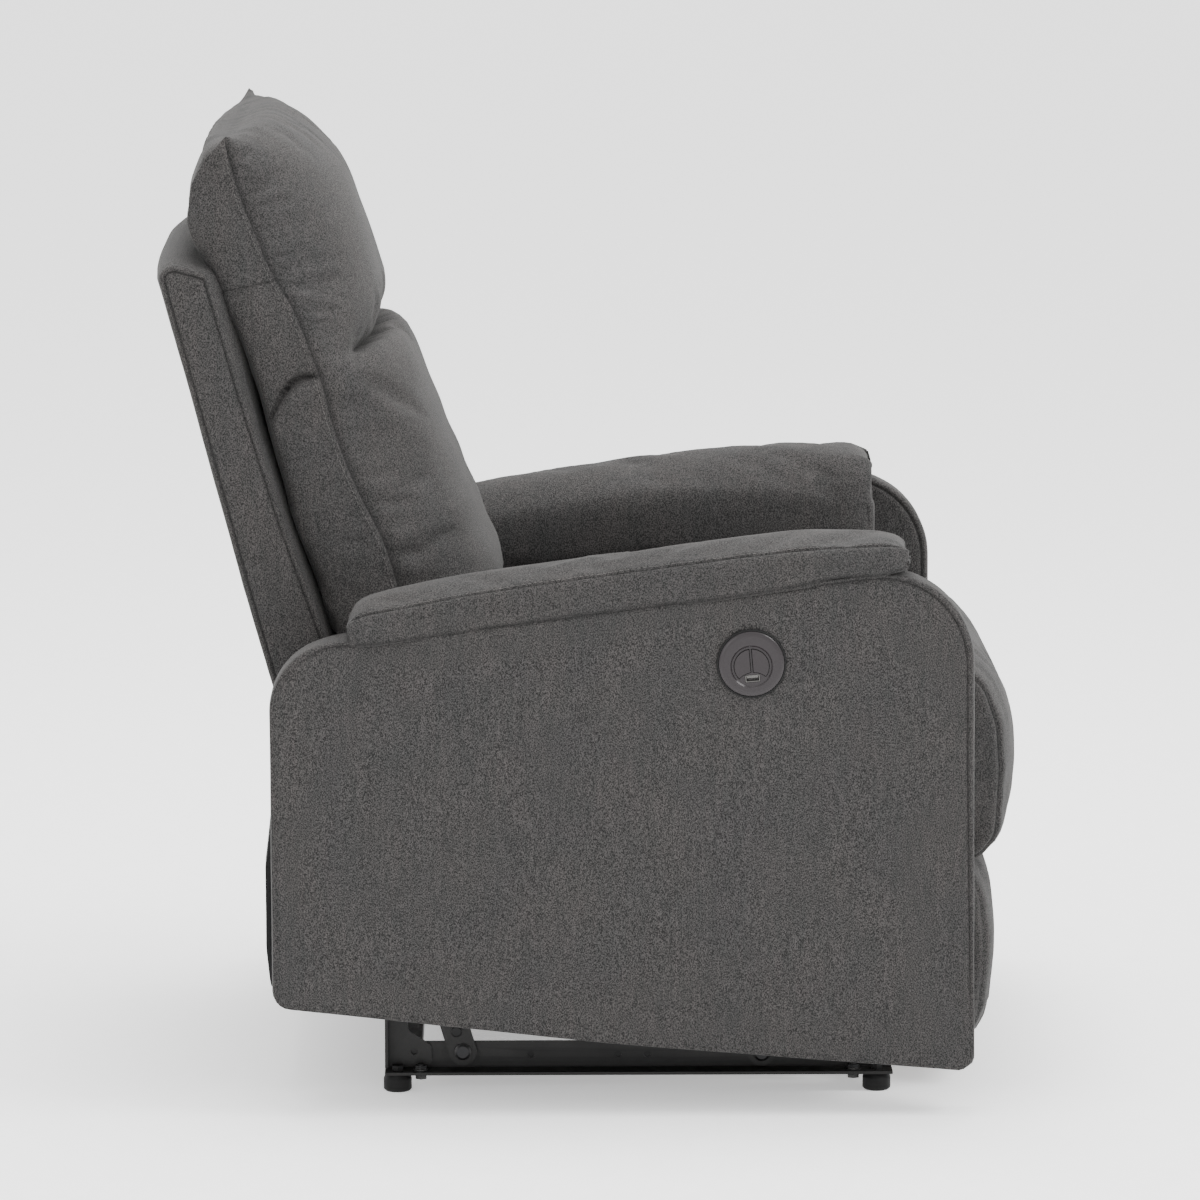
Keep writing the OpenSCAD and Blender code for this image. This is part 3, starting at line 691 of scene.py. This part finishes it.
def pad_section():
    """Section of the arm pad as a closed loop, the lengths along it and the length at the outer seam."""
    keys = np.array(PAD_SECTION, float)
    closed = np.vstack([keys, keys[:1]])
    knots = arc_lengths(closed)
    wide = np.vstack([closed[-4:-1], closed, closed[1:4]])
    wide_knots = np.concatenate([knots[-4:-1] - knots[-1], knots, knots[1:4] + knots[-1]])
    base = grid_lines((0, knots[-1]), 4.2, (knots[PAD_SEAM],))[:-1]
    return hermite(wide_knots, wide, base), base, knots[PAD_SEAM]


def pad_ring(loop, n_in, f, top, side, lift=0.0, share=1.0):
    """Section at f: its top edge lowered by top, its sides drawn in by side, its bottom raised by lift."""
    seam_h = np.interp(f, *np.array(SEAM_HEIGHT).T)
    crown_h = np.interp(f, *np.array(CROWN_HEIGHT).T)
    x, z = loop.T
    z = np.where(z <= 0, z, np.where(z <= 33.5, z * seam_h / 33.5,
                                     seam_h + (z - 33.5) * (crown_h - seam_h) / 11.9))
    z = z - top * np.clip(-n_in[:, 1], 0, 1) ** 1.5
    z = z + lift * np.clip((10 - loop[:, 1]) / 15, 0, 1) * (loop[:, 0] > 355)
    x = x + side * n_in[:, 0] * np.abs(n_in[:, 0]) ** 0.5
    centre = np.array([330.0, 4.0])
    q = centre + (np.stack([x, z], -1) - centre) * share
    return side_world(q[:, 0], np.full(len(q), f), q[:, 1] + arm_line(f))


def pad_rows(loop, n_in):
    """Rings of the arm pad from its rear end to its nose, and how far each is from the nose seam."""
    rear, front, nose = PAD_REAR, PAD_FRONT, PAD_NOSE
    rows = [pad_ring(loop, n_in, rear + 1.5 * (1 - k), 20, 12, 0, k) for k in (0.08, 0.3, 0.52, 0.72, 0.86)]
    rows += [pad_ring(loop, n_in, rear + 26 * gone, 20 * left, 12 * left)
             for left, gone in edge_turns(6, 18, 32, 48, 66, 84)]
    marks = [90.0] * len(rows)
    for f in np.linspace(rear + 28, front - nose, 78):
        rows.append(pad_ring(loop, n_in, f, 0, 0))
        marks.append(front - nose - f + 32)
    for a in np.radians([14, 28, 42, 55, 67, 78, 86]):
        drop = 1 - math.cos(a)
        rows.append(pad_ring(loop, n_in, front - nose + (nose - 3) * math.sin(a), 23 * drop, 15 * drop,
                             8.5 * drop))
        marks.append(30 * (1 - a / (math.pi / 2)) + 2)
    for d in (-1.2, 0, 1.2):
        rows.append(pad_ring(loop, n_in, front - 3 + d * 0.15, 22.5 + d, 14.5 + d, 8.5))
        marks.append(abs(d))
    for k in (0.93, 0.82, 0.62, 0.42, 0.22, 0.08):
        rows.append(pad_ring(loop, n_in, front - 2.3 + 2.2 * (1 - k**2), 23.5, 15.5, 8.5, k))
        marks.append(8.0 + 20 * (1 - k))
    return np.array(rows), np.array(marks)


def arm_pad():
    """Padded top of the arm, left-hand side: wraps down the inner side, gathered at its front."""
    loop, base, seam_at = pad_section()
    P, marks = pad_rows(loop, inward(loop))
    marks = marks[:, None] * np.ones(len(loop))
    poles = (side_world(330.0, PAD_REAR + 1.5, arm_line(PAD_REAR) + 4),
             side_world(330.0, PAD_FRONT, arm_line(PAD_FRONT) + 4))
    along_loop = base[None, :] * np.ones_like(marks)
    f_of = -P[..., 1]
    on_body = (f_of > PAD_REAR + 6) & (f_of < PAD_FRONT - 8)
    from_seam = np.abs(along_loop - seam_at)
    drop = groove(along_loop, seam_at, 1.9, 1.7, 0.5) * on_body
    drop += groove(marks, 0.0, 2.0, 1.5, 0.3) * (marks < 12)
    drop += puckers(along_loop, marks, 21, 3.2, 13.0, 17.0) * (marks < 90)
    drop += puckers(f_of, from_seam, 23, 0.6, 24.0, 16.0)
    drop += 1.2 * value_noise(P, (70, 120, 70), 24) * np.clip(from_seam / 20, 0, 1)
    fading = np.clip((PAD_FRONT - 25 - f_of) / 30, 0, 1)
    weights = np.maximum(darkness(along_loop, seam_at, 0.8) * on_body * fading,
                         0.35 * darkness(marks, 0.0, 1.0) * (marks < 3))
    # painted shade along the pad's lower outer edge, where it overhangs the side panel
    weights = np.maximum(weights, 0.55 * np.exp(-((along_loop - 8) / 2.4) ** 2) * on_body)
    rows = np.arange(0, len(P), 2)
    rows = np.array([r for r in rows if marks[r, 0] > 6 or marks[r, 0] < 0.1] + [len(P) - 8])
    pins = np.maximum((from_seam < 0.2) * 1.0, (marks < 0.1) * 1.0)
    cols = np.flatnonzero((from_seam[0] > 8.2) | (from_seam[0] < 0.2))
    P = P + puffed(P, poles, rows, pins, cap=4.0, slack=0.008, keep_cols=cols)
    left, Q, N = finish_grid("arm_pad_left_cover", P, poles, drop, weights)
    right = mirrored(left, "arm_pad_right_cover")
    piece_pair(left, right, "arm_pad")
    column = int(np.argmin(np.abs(base - (seam_at + 2.8))))
    inside = [i for i in range(len(P)) if PAD_REAR + 8 < f_of[i, 0] < PAD_FRONT - 20]
    path, normals = Q[inside, column], N[inside, column]
    stitches("arm_pad_left_stitches", path, normals, left)
    stitches("arm_pad_right_stitches", path * FLIP, normals * FLIP, right)


def spread(values, at, count, period=None):
    """Values known along the first axis at the places at, spread to all places up to count."""
    flat = values.reshape(len(values), -1).T
    every = np.stack([np.interp(np.arange(count), at, v, period=period) for v in flat], -1)
    return every.reshape(count, *values.shape[1:])


def puffed(P, poles, keep_rows, pins, cap, slack, keep_cols=None):
    """Cloth displacement worked out on some of the rows and columns, spread smoothly to the rest."""
    rows = np.unique(np.concatenate([[0], keep_rows, [P.shape[0] - 1]]))
    cols = np.arange(P.shape[1]) if keep_cols is None else keep_cols
    moved = spread(inflate(P[rows][:, cols], poles, pins[rows][:, cols], cap, slack), rows, P.shape[0])
    if keep_cols is None:
        return moved
    return spread(moved.swapaxes(0, 1), cols, P.shape[1], P.shape[1]).swapaxes(0, 1)


def crown(x, half, power, rise):
    """Height of a stuffed surface across its width, from 0 at the seams to 1 in the middle."""
    return (1 - np.clip(np.abs(x) / half, 0, 1) ** power) ** rise


def across_lines(half):
    """Lateral places from one side seam to the other, closer together beside the seams."""
    near = [half - d for d in SEAM_SPREAD]
    wide = [x for x in grid_lines((-half, half), 9.0) if abs(x) < half - 10]
    return np.array(sorted({*wide, -half, half, *near, *[-v for v in near]}))


def boxed_rings(loop, n_in, centre, half, hub, boxing, puff, shape):
    """Rings of a cushion with boxed sides, from its right to its left, and how far each is from a seam.
    hub is (shares, inset, how far out, how much less towards the edge, mark), boxing (inset, out) pairs."""
    shares, inset, far_out, less, mark = hub
    side = [(centre + (loop + n_in * inset - centre) * k, far_out - less * k, mark) for k in shares]
    side += [(loop + n_in * d, out, float(d)) for d, out in boxing]
    xs = across_lines(half)
    rows = [ring_at(-half - out, q) for q, out, _ in side]
    rows += [ring_at(x, loop - n_in * (puff * crown(x, half, *shape))[:, None]) for x in xs]
    rows += [ring_at(half + out, q) for q, out, _ in side[::-1]]
    side_marks = [m for _, _, m in side]
    return np.array(rows), side_marks + list(half - np.abs(xs)) + side_marks[::-1]


def rows_to_puff(marks):
    """Rows for the cloth: the seams, and those clear of them."""
    return np.flatnonzero((marks[:, 0] > 8.5) | (marks[:, 0] == 0))


SEAT_LOOP = [[-175, 275, 14], [346, 275, 0], [352, 248, 4], [399, 241, 14], [417, 264, 34], [421, 332, 90],
             [418, 375, 50], [402, 427, 40], [300, 455, 140], [60, 451, 200], [-175, 438, 26]]
SEAT_SEAM_X = 262.0


def seat_cushion():
    """Seat: one panel over the top and the front, with side boxing let in at a seam."""
    loop, total = even_loop(SEAT_LOOP, 10, 7.5)
    n_in = inward(loop)
    puff = np.clip(-n_in[:, 1], 0, 1) * 23 * np.clip((loop[:, 0] + 175) / 60, 0, 1)
    front = np.clip(-n_in[:, 0], 0, 1) * np.clip((loop[:, 0] - 380) / 20, 0, 1)
    low = np.clip(n_in[:, 1], 0, 1) * (loop[:, 0] > 350)
    puff = puff + front * 15 + low * 12
    puff = smoothed(puff, 9)
    centre = np.array([150.0, 350.0])
    half = SEAT_SEAM_X
    hub = ((0.05, 0.25, 0.45, 0.62, 0.77, 0.9), 30, 6.5, 0, 40.0)
    boxing = ((30, 6.5), (22, 6.2), (15, 5.4), (8, 3.8), (5.0, 2.7), (2.8, 1.7), (1.3, 0.9))
    P, marks = boxed_rings(loop, n_in, centre, half, hub, boxing, puff, (2.4, 0.62))
    marks, along = grid_places(marks, loop, total)
    poles = (side_world(-half - 6.5, *centre), side_world(half + 6.5, *centre))
    drop = groove(marks, 0.0, 1.9, 1.7, 0.5)
    drop += puckers(along, marks, 31, 2.0, 17.0, 28.0)
    drop += 1.8 * value_noise(P, (130, 90, 90), 33) * np.clip(marks / 30, 0, 1)
    weights = darkness(marks, 0.0)
    pins = np.maximum((marks == 0) * 1.0, (n_in[:, 1] > 0.85)[None, :] * (P[..., 2] < 300) * 1.0)
    P = P + puffed(P, poles, rows_to_puff(marks), pins, cap=9.0, slack=0.012)
    obj, Q, N = finish_grid("seat_cushion_cover", P, poles, drop, weights)
    piece(obj, "seat", ["seat_cushion"])
    for sign, label in ((-1, "right"), (1, "left")):
        row = int(np.argmin(np.abs(P[:, 0, 0] - sign * (half - 2.8)) + 100 * (marks[:, 0] > 9)))
        upper = np.flatnonzero((loop[:, 1] > 255) & (loop[:, 0] > -150) & (n_in[:, 1] < 0.5)).tolist()
        first = next((i for i in range(1, len(upper)) if upper[i] - upper[i - 1] > 1), 0)
        upper = upper[first:] + upper[:first]
        stitches(f"seat_cushion_{label}_stitches", Q[row, upper], N[row, upper], obj)


FOOTREST_LOOP = [[372, 48, 6], [388, 44, 13], [401, 75, 60], [407, 145, 220], [402, 195, 60],
                 [390, 231, 16], [372, 233, 6]]


def footrest_pad():
    """Footrest: padded front panel wrapped over the board and round its sides."""
    loop, total = even_loop(FOOTREST_LOOP, 10, 5.5)
    n_in = inward(loop)
    puff = np.clip(-n_in[:, 0], 0, 1) * 14 + np.abs(n_in[:, 1]) * 4
    puff = np.where(n_in[:, 0] > 0.5, 0, puff)
    puff = smoothed(puff, 5)
    puff[n_in[:, 0] > 0.9] = 0
    centre = np.array([386.0, 144.0])
    half = 255.0
    hub = ((0.1, 0.4, 0.7), 9, 8, 2, 30.0)
    boxing = ((8, 5.6), (5.0, 4.6), (2.8, 3.2), (1.3, 1.8))
    P, marks = boxed_rings(loop, n_in, centre, half, hub, boxing, puff, (3.0, 0.6))
    marks, along = grid_places(marks, loop, total)
    poles = (side_world(-half - 8, *centre), side_world(half + 8, *centre))
    faces_front = (n_in[:, 0] < 0.5)[None, :] * np.ones_like(marks)
    drop = groove(marks, 0.0, 0.7, 1.8, 0.2) * faces_front
    drop += puckers(along, marks, 41, 1.6, 15.0, 24.0) * faces_front
    drop += 1.2 * value_noise(P, (110, 60, 70), 43) * np.clip(marks / 30, 0, 1) * faces_front
    weights = 0.15 * darkness(marks, 0.0)
    pins = np.maximum((marks == 0) * 1.0, (n_in[:, 0] > 0.8)[None, :] * 1.0)
    P = P + puffed(P, poles, rows_to_puff(marks), pins, cap=5.0, slack=0.012)
    obj, _, _ = finish_grid("footrest_pad_cover", P, poles, drop, weights)
    piece(obj, "footrest", ["footrest_pad"])


# Back cushion and head pillow under one cover: places along the height, bottom first.
# Side seam, middle of the front, rear edge of the gusset, all [forward, up].
BACK_SEAM = [[-178, 462], [-184, 480], [-195, 527], [-209, 571], [-230, 613], [-248, 655], [-261, 696],
             [-269, 727], [-274, 743], [-278, 754], [-283, 768], [-299, 807], [-316, 836], [-326, 856],
             [-336, 881], [-346, 906], [-356, 935], [-362, 956], [-366, 970], [-368, 980]]
BACK_FRONT = [[-108, 459], [-91, 480], [-98, 525], [-117, 571], [-135, 613], [-152, 655], [-169, 697],
              [-186, 741], [-203, 766], [-231, 755], [-217, 771], [-215, 797], [-223, 830], [-232, 861],
              [-242, 889], [-253, 918], [-273, 951], [-301, 979], [-333, 989], [-364, 978]]
BACK_PLAIN = {8: [-202, 758], 9: [-211, 765], 10: [-216, 779]}  # the front where it isn't tucked
BACK_REAR = [[-252, 464], [-257, 482], [-272, 527], [-289, 571], [-303, 613], [-314, 655], [-324, 696],
             [-333, 727], [-339, 743], [-342, 753], [-347, 767], [-359, 799], [-370, 824], [-380, 847],
             [-394, 878], [-403, 904], [-406, 929], [-399, 948], [-384, 963], [-370, 978]]
BACK_CROSS, BACK_TUCK, BACK_CREASE = 12, 9, 7  # places of the cross seam, the tuck and the gusset's crease
BACK_HALF = 252.0
GUSSET = np.array([0.02, 0.045, 0.08, 0.13, 0.2, 0.3, 0.4, 0.5, 0.6, 0.7, 0.8, 0.88, 0.95])
EARS = {RIGHT: (-2.0, 1.0), LEFT: (-6.0, 12.0)}  # how far each top corner stands back and up


def ear(x, top):
    """Backward and upward pull of the top corners at lateral place x; top is 1 at the top seam."""
    back, up = EARS[RIGHT if x < 0 else LEFT]
    near = np.exp(-(BACK_HALF - abs(x)) / (20 if x < 0 else 80)) * top**2
    return back * near, up * near


def back_sections():
    """Lengths along the side seam, and the seam, tucked front, plain front and rear at each of them."""
    seam, middle, rear = (np.array(k, float) for k in (BACK_SEAM, BACK_FRONT, BACK_REAR))
    plain = middle.copy()
    for k, v in BACK_PLAIN.items():
        plain[k] = v
    knots = arc_lengths(seam)
    s = grid_lines((0, knots[-1]), 3.5, (knots[BACK_CROSS], knots[BACK_TUCK]))
    seam, middle, plain, rear = (hermite(knots, k, s) for k in (seam, middle, plain, rear))
    wobble = value_noise(np.stack([s / 70, s * 0, s * 0], -1), 1.0, 50)
    rear[:, 0] += 4.0 * wobble * np.clip((knots[-1] - s) / 150, 0, 1)
    return knots, s, seam, middle, plain, rear


def back_grid(total, s, seam, middle, plain, rear):
    """Points of the back cushion: front from right to left, left gusset, rear, right gusset."""
    half = BACK_HALF
    xs = across_lines(half)
    top = np.clip((s - total + 60) / 60, 0, 1)
    slump = 10 * np.clip(1 - np.abs(rear[:, 1] - 948) / 45, 0, 1)
    width = np.linalg.norm(rear - seam, axis=1)

    def front(x):
        untucked = np.clip((abs(x) - 168) / 66, 0, 1)
        centre = plain + (middle - plain) * (1 - untucked**2 * (3 - 2 * untucked))
        q = seam + (centre - seam) * crown(x, half, 3.0, 0.62)
        shift, up = ear(x, top)
        return np.full(len(s), x), q[:, 0] - shift, q[:, 1] + up

    def side(sign, w):
        shift, up = ear(sign * half, top)
        q = seam + (rear - seam) * w + np.stack([-shift, up - slump * w * (sign == LEFT)], -1)
        bulge = np.minimum(10.5, width * 0.16) * np.sin(math.pi * w) ** 0.55
        return sign * (half + bulge), q[:, 0], q[:, 1]

    def behind(x):
        h = crown(x, half, 2.6, 0.6)
        shift, up = ear(x, top)
        lean = np.clip((rear[:, 1] - 820) / 60, 0, 1) * 9 * np.clip((total - s) / 60, 0, 1)
        rise = (middle[:, 1] - seam[:, 1]) * np.clip((s - total + 45) / 45, 0, 1)
        sunk = slump * np.clip(0.4 + 0.6 * x / half, 0, 1)
        return np.full(len(s), x), rear[:, 0] - lean * h - shift, rear[:, 1] + rise * h + up - sunk

    columns = [front(x) for x in xs] + [side(LEFT, w) for w in GUSSET]
    columns += [behind(x) for x in xs[::-1]] + [side(RIGHT, w) for w in GUSSET[::-1]]
    P = np.stack([side_world(*c) for c in columns], 1)
    # at the top the rear and the gussets meet the front in the top seam
    n, g = len(xs), len(GUSSET)
    P[-1, n + g:2 * n + g] = P[-1, n - 1::-1]
    P[-1, n:n + g], P[-1, 2 * n + g:] = P[-1, n - 1], P[-1, 0]
    return P, xs, width


def back_cushion():
    """Lumbar cushion and head pillow: front panel with a sewn tuck, side gussets, top seam with ears."""
    knots, s, *sections = back_sections()
    total, cross_s, tuck_s = knots[-1], knots[BACK_CROSS], knots[BACK_TUCK]
    P, xs, width = back_grid(total, s, *sections)
    cols, front_cols = P.shape[1], len(xs)
    along = s[:, None] * np.ones(cols)
    from_top = total - along
    gusset_w = np.zeros((1, cols))
    gusset_w[0, front_cols:front_cols + len(GUSSET)] = GUSSET
    gusset_w[0, cols - len(GUSSET):] = GUSSET[::-1]
    on_gusset = gusset_w > 0
    on_front = (np.arange(cols) < front_cols)[None, :]
    from_side = np.full(cols, 99.0)
    from_side[:front_cols] = BACK_HALF - np.abs(xs)
    away = np.where(on_gusset, gusset_w * width[:, None], from_side[None, :] * np.ones_like(along))
    x_of = P[..., 0]
    tucked = 1 - np.clip((np.abs(x_of) - 150) / 70, 0, 1)
    pillow = np.clip((along - tuck_s) / 60, 0, 1)
    drop = groove(away, 0.0, 1.9, 1.7, 0.6) * (on_front | on_gusset)
    drop += groove(along, cross_s, 1.6, 1.8, 0.3) * on_gusset
    drop += groove(from_top, 0.0, 1.6, 2.2, 0.0) * on_front
    drop += puckers(along, away, 51, 4.0, 19.0, 34.0) * on_front * (1 - pillow)
    creases = puckers(along, away, 58, 4.6, 9.0, 24.0, True) * on_front * pillow
    drop += creases
    drop += puckers(along, away, 52, 1.3, 22.0, 24.0) * on_gusset
    drop += puckers(x_of + 600, from_top, 53, 2.4, 17.0, 26.0) * (on_front | ~on_gusset)
    drop += puckers(x_of + 600, along - tuck_s, 54, 1.6, 30.0, 24.0) * on_front * tucked
    soft_lines = value_noise(P, (220, 60, 34), 56)
    drop += 2.4 * soft_lines * np.clip(away / 40, 0, 1) * on_front * np.clip((300 - along) / 120, 0, 1)
    drop += 1.6 * value_noise(P, (110, 90, 80), 57) * np.clip(away / 30, 0, 1) * on_front
    above = along - (knots[BACK_CREASE] + 11 - 46 * gusset_w ** 2.2)
    fold = np.where(above > 0, -8.5 * np.exp(-above / 28), 6.5 * np.exp(-((above + 13) / 12) ** 2))
    fold -= 10.0 * np.exp(-(above / 4.0) ** 2)
    drop += on_gusset * fold * np.sin(math.pi * gusset_w) ** 0.45
    drop *= np.where((from_top < 10) & ~on_front, np.clip(from_top / 10, 0, 1), 1)
    drop[-1] = 0
    weights = np.maximum.reduce([
        darkness(away, 0.0) * (on_front | on_gusset), darkness(along, cross_s) * on_gusset * 0.8,
        darkness(from_top, 0.0, 1.2) * on_front, 0.6 * darkness(along, tuck_s, 1.6) * on_front * tucked,
        # painted shade: the gusset's fold line and the valleys of the pillow's creases are darkened
        0.5 * on_gusset * np.exp(-(above / 3.0) ** 2), 0.35 * np.clip(-creases - 0.6, 0, 1)])
    bottom, dome = P[0].mean(0), np.array([0, 0, 4.0])
    rings = [bottom + (P[0] - bottom) * k - dome * (1 - k) for k in (0.1, 0.3, 0.5, 0.7, 0.88)]
    offset = len(rings)
    P = np.vstack([np.array(rings), P])
    drop, weights = (np.vstack([np.zeros((offset, cols)), v]) for v in (drop, weights))
    poles = (bottom - dome, None)
    P = P + back_puff(P, poles, offset, s, away, tuck_s, tucked, on_front)
    Q = P + outward_normals(P) * drop[..., None]
    Q[-1] = P[-1]
    obj = skin("back_cushion_cover", Q, poles, weights)
    N = outward_normals(Q)
    piece(obj, "back", ["back_cushion", "head_pillow"])
    span = [i for i in range(offset, len(P) - 1) if 30 < s[i - offset] < total - 10]
    for label, j in (("right", cols - 3), ("left", front_cols + 2)):
        stitches(f"back_gusset_{label}_stitches", Q[span, j], N[span, j], obj)


def back_puff(P, poles, offset, s, away, tuck_s, tucked, on_front):
    """Cloth displacement of the back cushion; its seams, tuck and bottom stay where they are."""
    top = P.shape[0] - 4
    work = P[:top]
    rows = np.arange(offset, top)
    pins = np.zeros(work.shape[:2])
    pins[rows] = (np.abs(away[rows - offset]) < 0.2) * 1.0
    pins[-1] = pins[:offset + 1] = 1.0
    from_tuck = np.abs(s[rows - offset] - tuck_s)
    at_tuck = (from_tuck < 1.0)[:, None] * on_front * (tucked[rows - offset] > 0.4)
    pins[rows] = np.maximum(pins[rows], at_tuck)
    keep_cols = np.flatnonzero((away[5] > 8.2) | (np.abs(away[5]) < 0.2))
    clear = (from_tuck < 0.5) | (rows % 2 == 1) & (from_tuck > 6)
    keep_rows = np.concatenate([np.arange(offset), rows[clear]])
    out = np.zeros_like(P)
    out[:top] = puffed(work, (poles[0], work[-1].mean(0)), keep_rows, pins, cap=6.0, slack=0.01,
                       keep_cols=keep_cols)
    return out


SHELL_OUTER = [[-297, 331, 12], [-352, 526, 300], [-401, 712, 0], [-437, 846, 14], [-420, 853, 14],
               [-384, 843, 10], [-352, 729, 0], [-310, 592, 0], [-267, 470, 120], [-246, 331, 4]]


def back_shell():
    """Upholstered shell of the back: flat boxed sides, one panel over the rear and the top."""
    loop, total = even_loop(SHELL_OUTER, 10, 6)
    loop = np.roll(loop, -int(np.argmin(np.hypot(loop[:, 0] + 271, loop[:, 1] - 331))), 0)
    n_in = inward(loop)
    rear_side = np.clip(n_in[:, 0], 0, 1) * np.clip((loop[:, 1] - 360) / 200, 0, 1)
    top_side = np.clip(-n_in[:, 1], 0, 1) * (loop[:, 1] > 820)
    puff = smoothed(rear_side * 7 + top_side * 11, 7)
    front = (n_in[:, 0] < -0.6) & (loop[:, 1] < 838)
    cover = smoothed(front * np.interp(loop[:, 1], [331, 690, 760, 838], [7.0, 7.0, 13.0, 12.0]), 5)
    half, edge = 267.0, 6.0
    inner = half - edge
    side = [(half + 0.1 * d, edge + d, float(d)) for d in (16, 12, 8, 5, 2.8, 1.3, 0)]
    side += [(half - edge * (1 - math.cos(a)), edge * (1 - math.sin(a)), 3.0 + 4 * a)
             for a in np.radians([20, 45, 70, 90])]
    rows = [(ring_at(-x, loop + n_in * inset), mark) for x, inset, mark in side]
    for x in np.linspace(-inner + 6, inner - 6, 62):
        out = puff * crown(x, inner, 2.6, 0.7) + cover * crown(x, inner - 4, 8, 0.5)
        rows.append((ring_at(x, loop - n_in * out[:, None]), 12 + inner - abs(x)))
    rows += [(ring_at(x, loop + n_in * inset), mark) for x, inset, mark in side[::-1]]
    P = np.array([r for r, _ in rows])
    marks, along = grid_places([m for _, m in rows], loop, total)
    drop = groove(marks, 0.0, 1.6, 1.5, 0.4) * (marks < 11)
    drop += puckers(along, marks, 61, 0.7, 20.0, 18.0)
    drop += 1.0 * value_noise(P, (110, 90, 120), 63) * np.clip(marks / 30, 0, 1) * ~front[None, :]
    obj, _, _ = finish_grid("back_shell_cover", P, ("bridge", "bridge"), drop, darkness(marks, 0.0))
    piece(obj, "back", ["back_shell"])


def dust_sheet():
    """Black cloth behind the seat, from the base of the seat up to the back, bending at the hinge."""
    z = np.linspace(104, 350, 36)
    x = np.concatenate([[-271.5] * 4, np.linspace(-270, 270, 56), [271.5] * 4])
    turn = np.concatenate([[32, 24, 14, 5], np.zeros(56), [5, 14, 24, 32]])
    f = np.interp(z, [104, 112, 150, 230, 290, 350], [-321, -327, -331, -331, -324, -302])
    X, Z = np.meshgrid(x, z)
    F = np.interp(Z, z, f) + turn[None, :] * np.interp(Z, [104, 290, 350], [1, 1, 0.3])
    sag = 3.5 * np.sin(np.pi * (Z - 104) / 246) * (1 - np.abs(X / 272) ** 4)
    P = side_world(X, F - sag, Z)
    P[..., 1] += 1.6 * value_noise(P, (60, 60, 90), 71) * (1 - np.abs(X / 272) ** 6)
    front = P - np.array([0, 1.2, 0]) - 1.2 * np.sign(X)[..., None] * (turn > 0)[None, :, None] * [1, 0, 0]
    verts = list(P.reshape(-1, 3) * MM) + list(front.reshape(-1, 3) * MM)
    rows, cols = P.shape[:2]
    count = rows * cols
    faces = grid_faces(rows, cols, False) + grid_faces(rows, cols, False, count)
    rim = ([(0, j) for j in range(cols)] + [(i, cols - 1) for i in range(1, rows)]
           + [(rows - 1, j) for j in range(cols - 2, -1, -1)] + [(i, 0) for i in range(rows - 2, 0, -1)])
    ids = [i * cols + j for i, j in rim]
    for a, b in zip(ids, ids[1:] + ids[:1]):
        faces.append((a, b, b + count, a + count))
    obj = outward(make_object("rear_dust_sheet", verts, faces))
    obj.data.materials.append(BLACK_CLOTH)
    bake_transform(obj)
    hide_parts("dust_cover")


def painted_shadow_ring():
    """Thin black ring round the round control, a painted shadow: it stands for the dark gap between the
    control and the fabric.
    """
    low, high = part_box("control_housing")
    y, z, x = (low[1] + high[1]) / 2, (low[2] + high[2]) / 2, low[0]
    radius, wire, turns, around = (high[2] - low[2]) / 2 + 0.9 * MM, 1.1 * MM, 72, 10
    verts = []
    for i in range(turns):
        a = 2 * math.pi * i / turns
        for k in range(around):
            b = 2 * math.pi * k / around
            r = radius + wire * math.cos(b)
            verts.append((x + 2.4 * MM + wire * math.sin(b), y + r * math.cos(a), z + r * math.sin(a)))
    verts += verts[:around]
    obj = outward(make_object("control_painted_shadow_ring", verts, grid_faces(turns + 1, around)))
    obj.data.materials.append(HARD["foot_plastic"])
    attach(obj, "seat")


dress_cad_nodes()
# black ring as painted shadow round the control
painted_shadow_ring()
side_panel()
arm_body()
arm_pad()
seat_cushion()
footrest_pad()
back_cushion()
back_shell()
dust_sheet()


# ---------- stage ----------

# name, place, what it aims at, size in metres, watts
LIGHTS = (("key", (-1.2, -3.2, 4.0), (0, 0, 0.5), 2.4, 165), ("top", (0.3, 0.2, 4.0), (0, 0, 0.4), 2.0, 170),
          ("fill", (-4.4, 2.2, 1.8), (0, 0, 0.5), 2.4, 30))
FLOOR_REACH = 60


def make_stage():
    """Pale floor and soft studio light."""
    mesh = bpy.data.meshes.new("floor")
    r = FLOOR_REACH
    mesh.from_pydata([(-r, -r, 0), (r, -r, 0), (r, r, 0), (-r, r, 0)], [], [(0, 1, 2, 3)])
    floor = add_object("floor", mesh)
    material, tree, shader = new_material("pale_floor")
    tone = ramp(tree, noise_at(tree, (40, 40, 40)), [(0.3, (0.86, 0.86, 0.86)), (0.7, (0.90, 0.90, 0.90))])
    tree.links.new(tone, shader.inputs["Base Color"])
    set_sockets(shader, Roughness=0.9, Emission_Color=(1, 1, 1, 1), Emission_Strength=0.5)
    mesh.materials.append(material)
    world = bpy.data.worlds.new("studio")
    bpy.context.scene.world = world
    world.use_nodes = True
    set_sockets(world.node_tree.nodes["Background"], Color=(1, 1, 1, 1), Strength=2.0)
    for name, spot, aim, size, watts in LIGHTS:
        light = bpy.data.lights.new(name, "AREA")
        light.shape, light.size, light.energy = "DISK", size, watts
        obj = add_object(name, light)
        obj.location = spot
        turn_along(obj, Vector(aim) - Vector(spot))


make_stage()
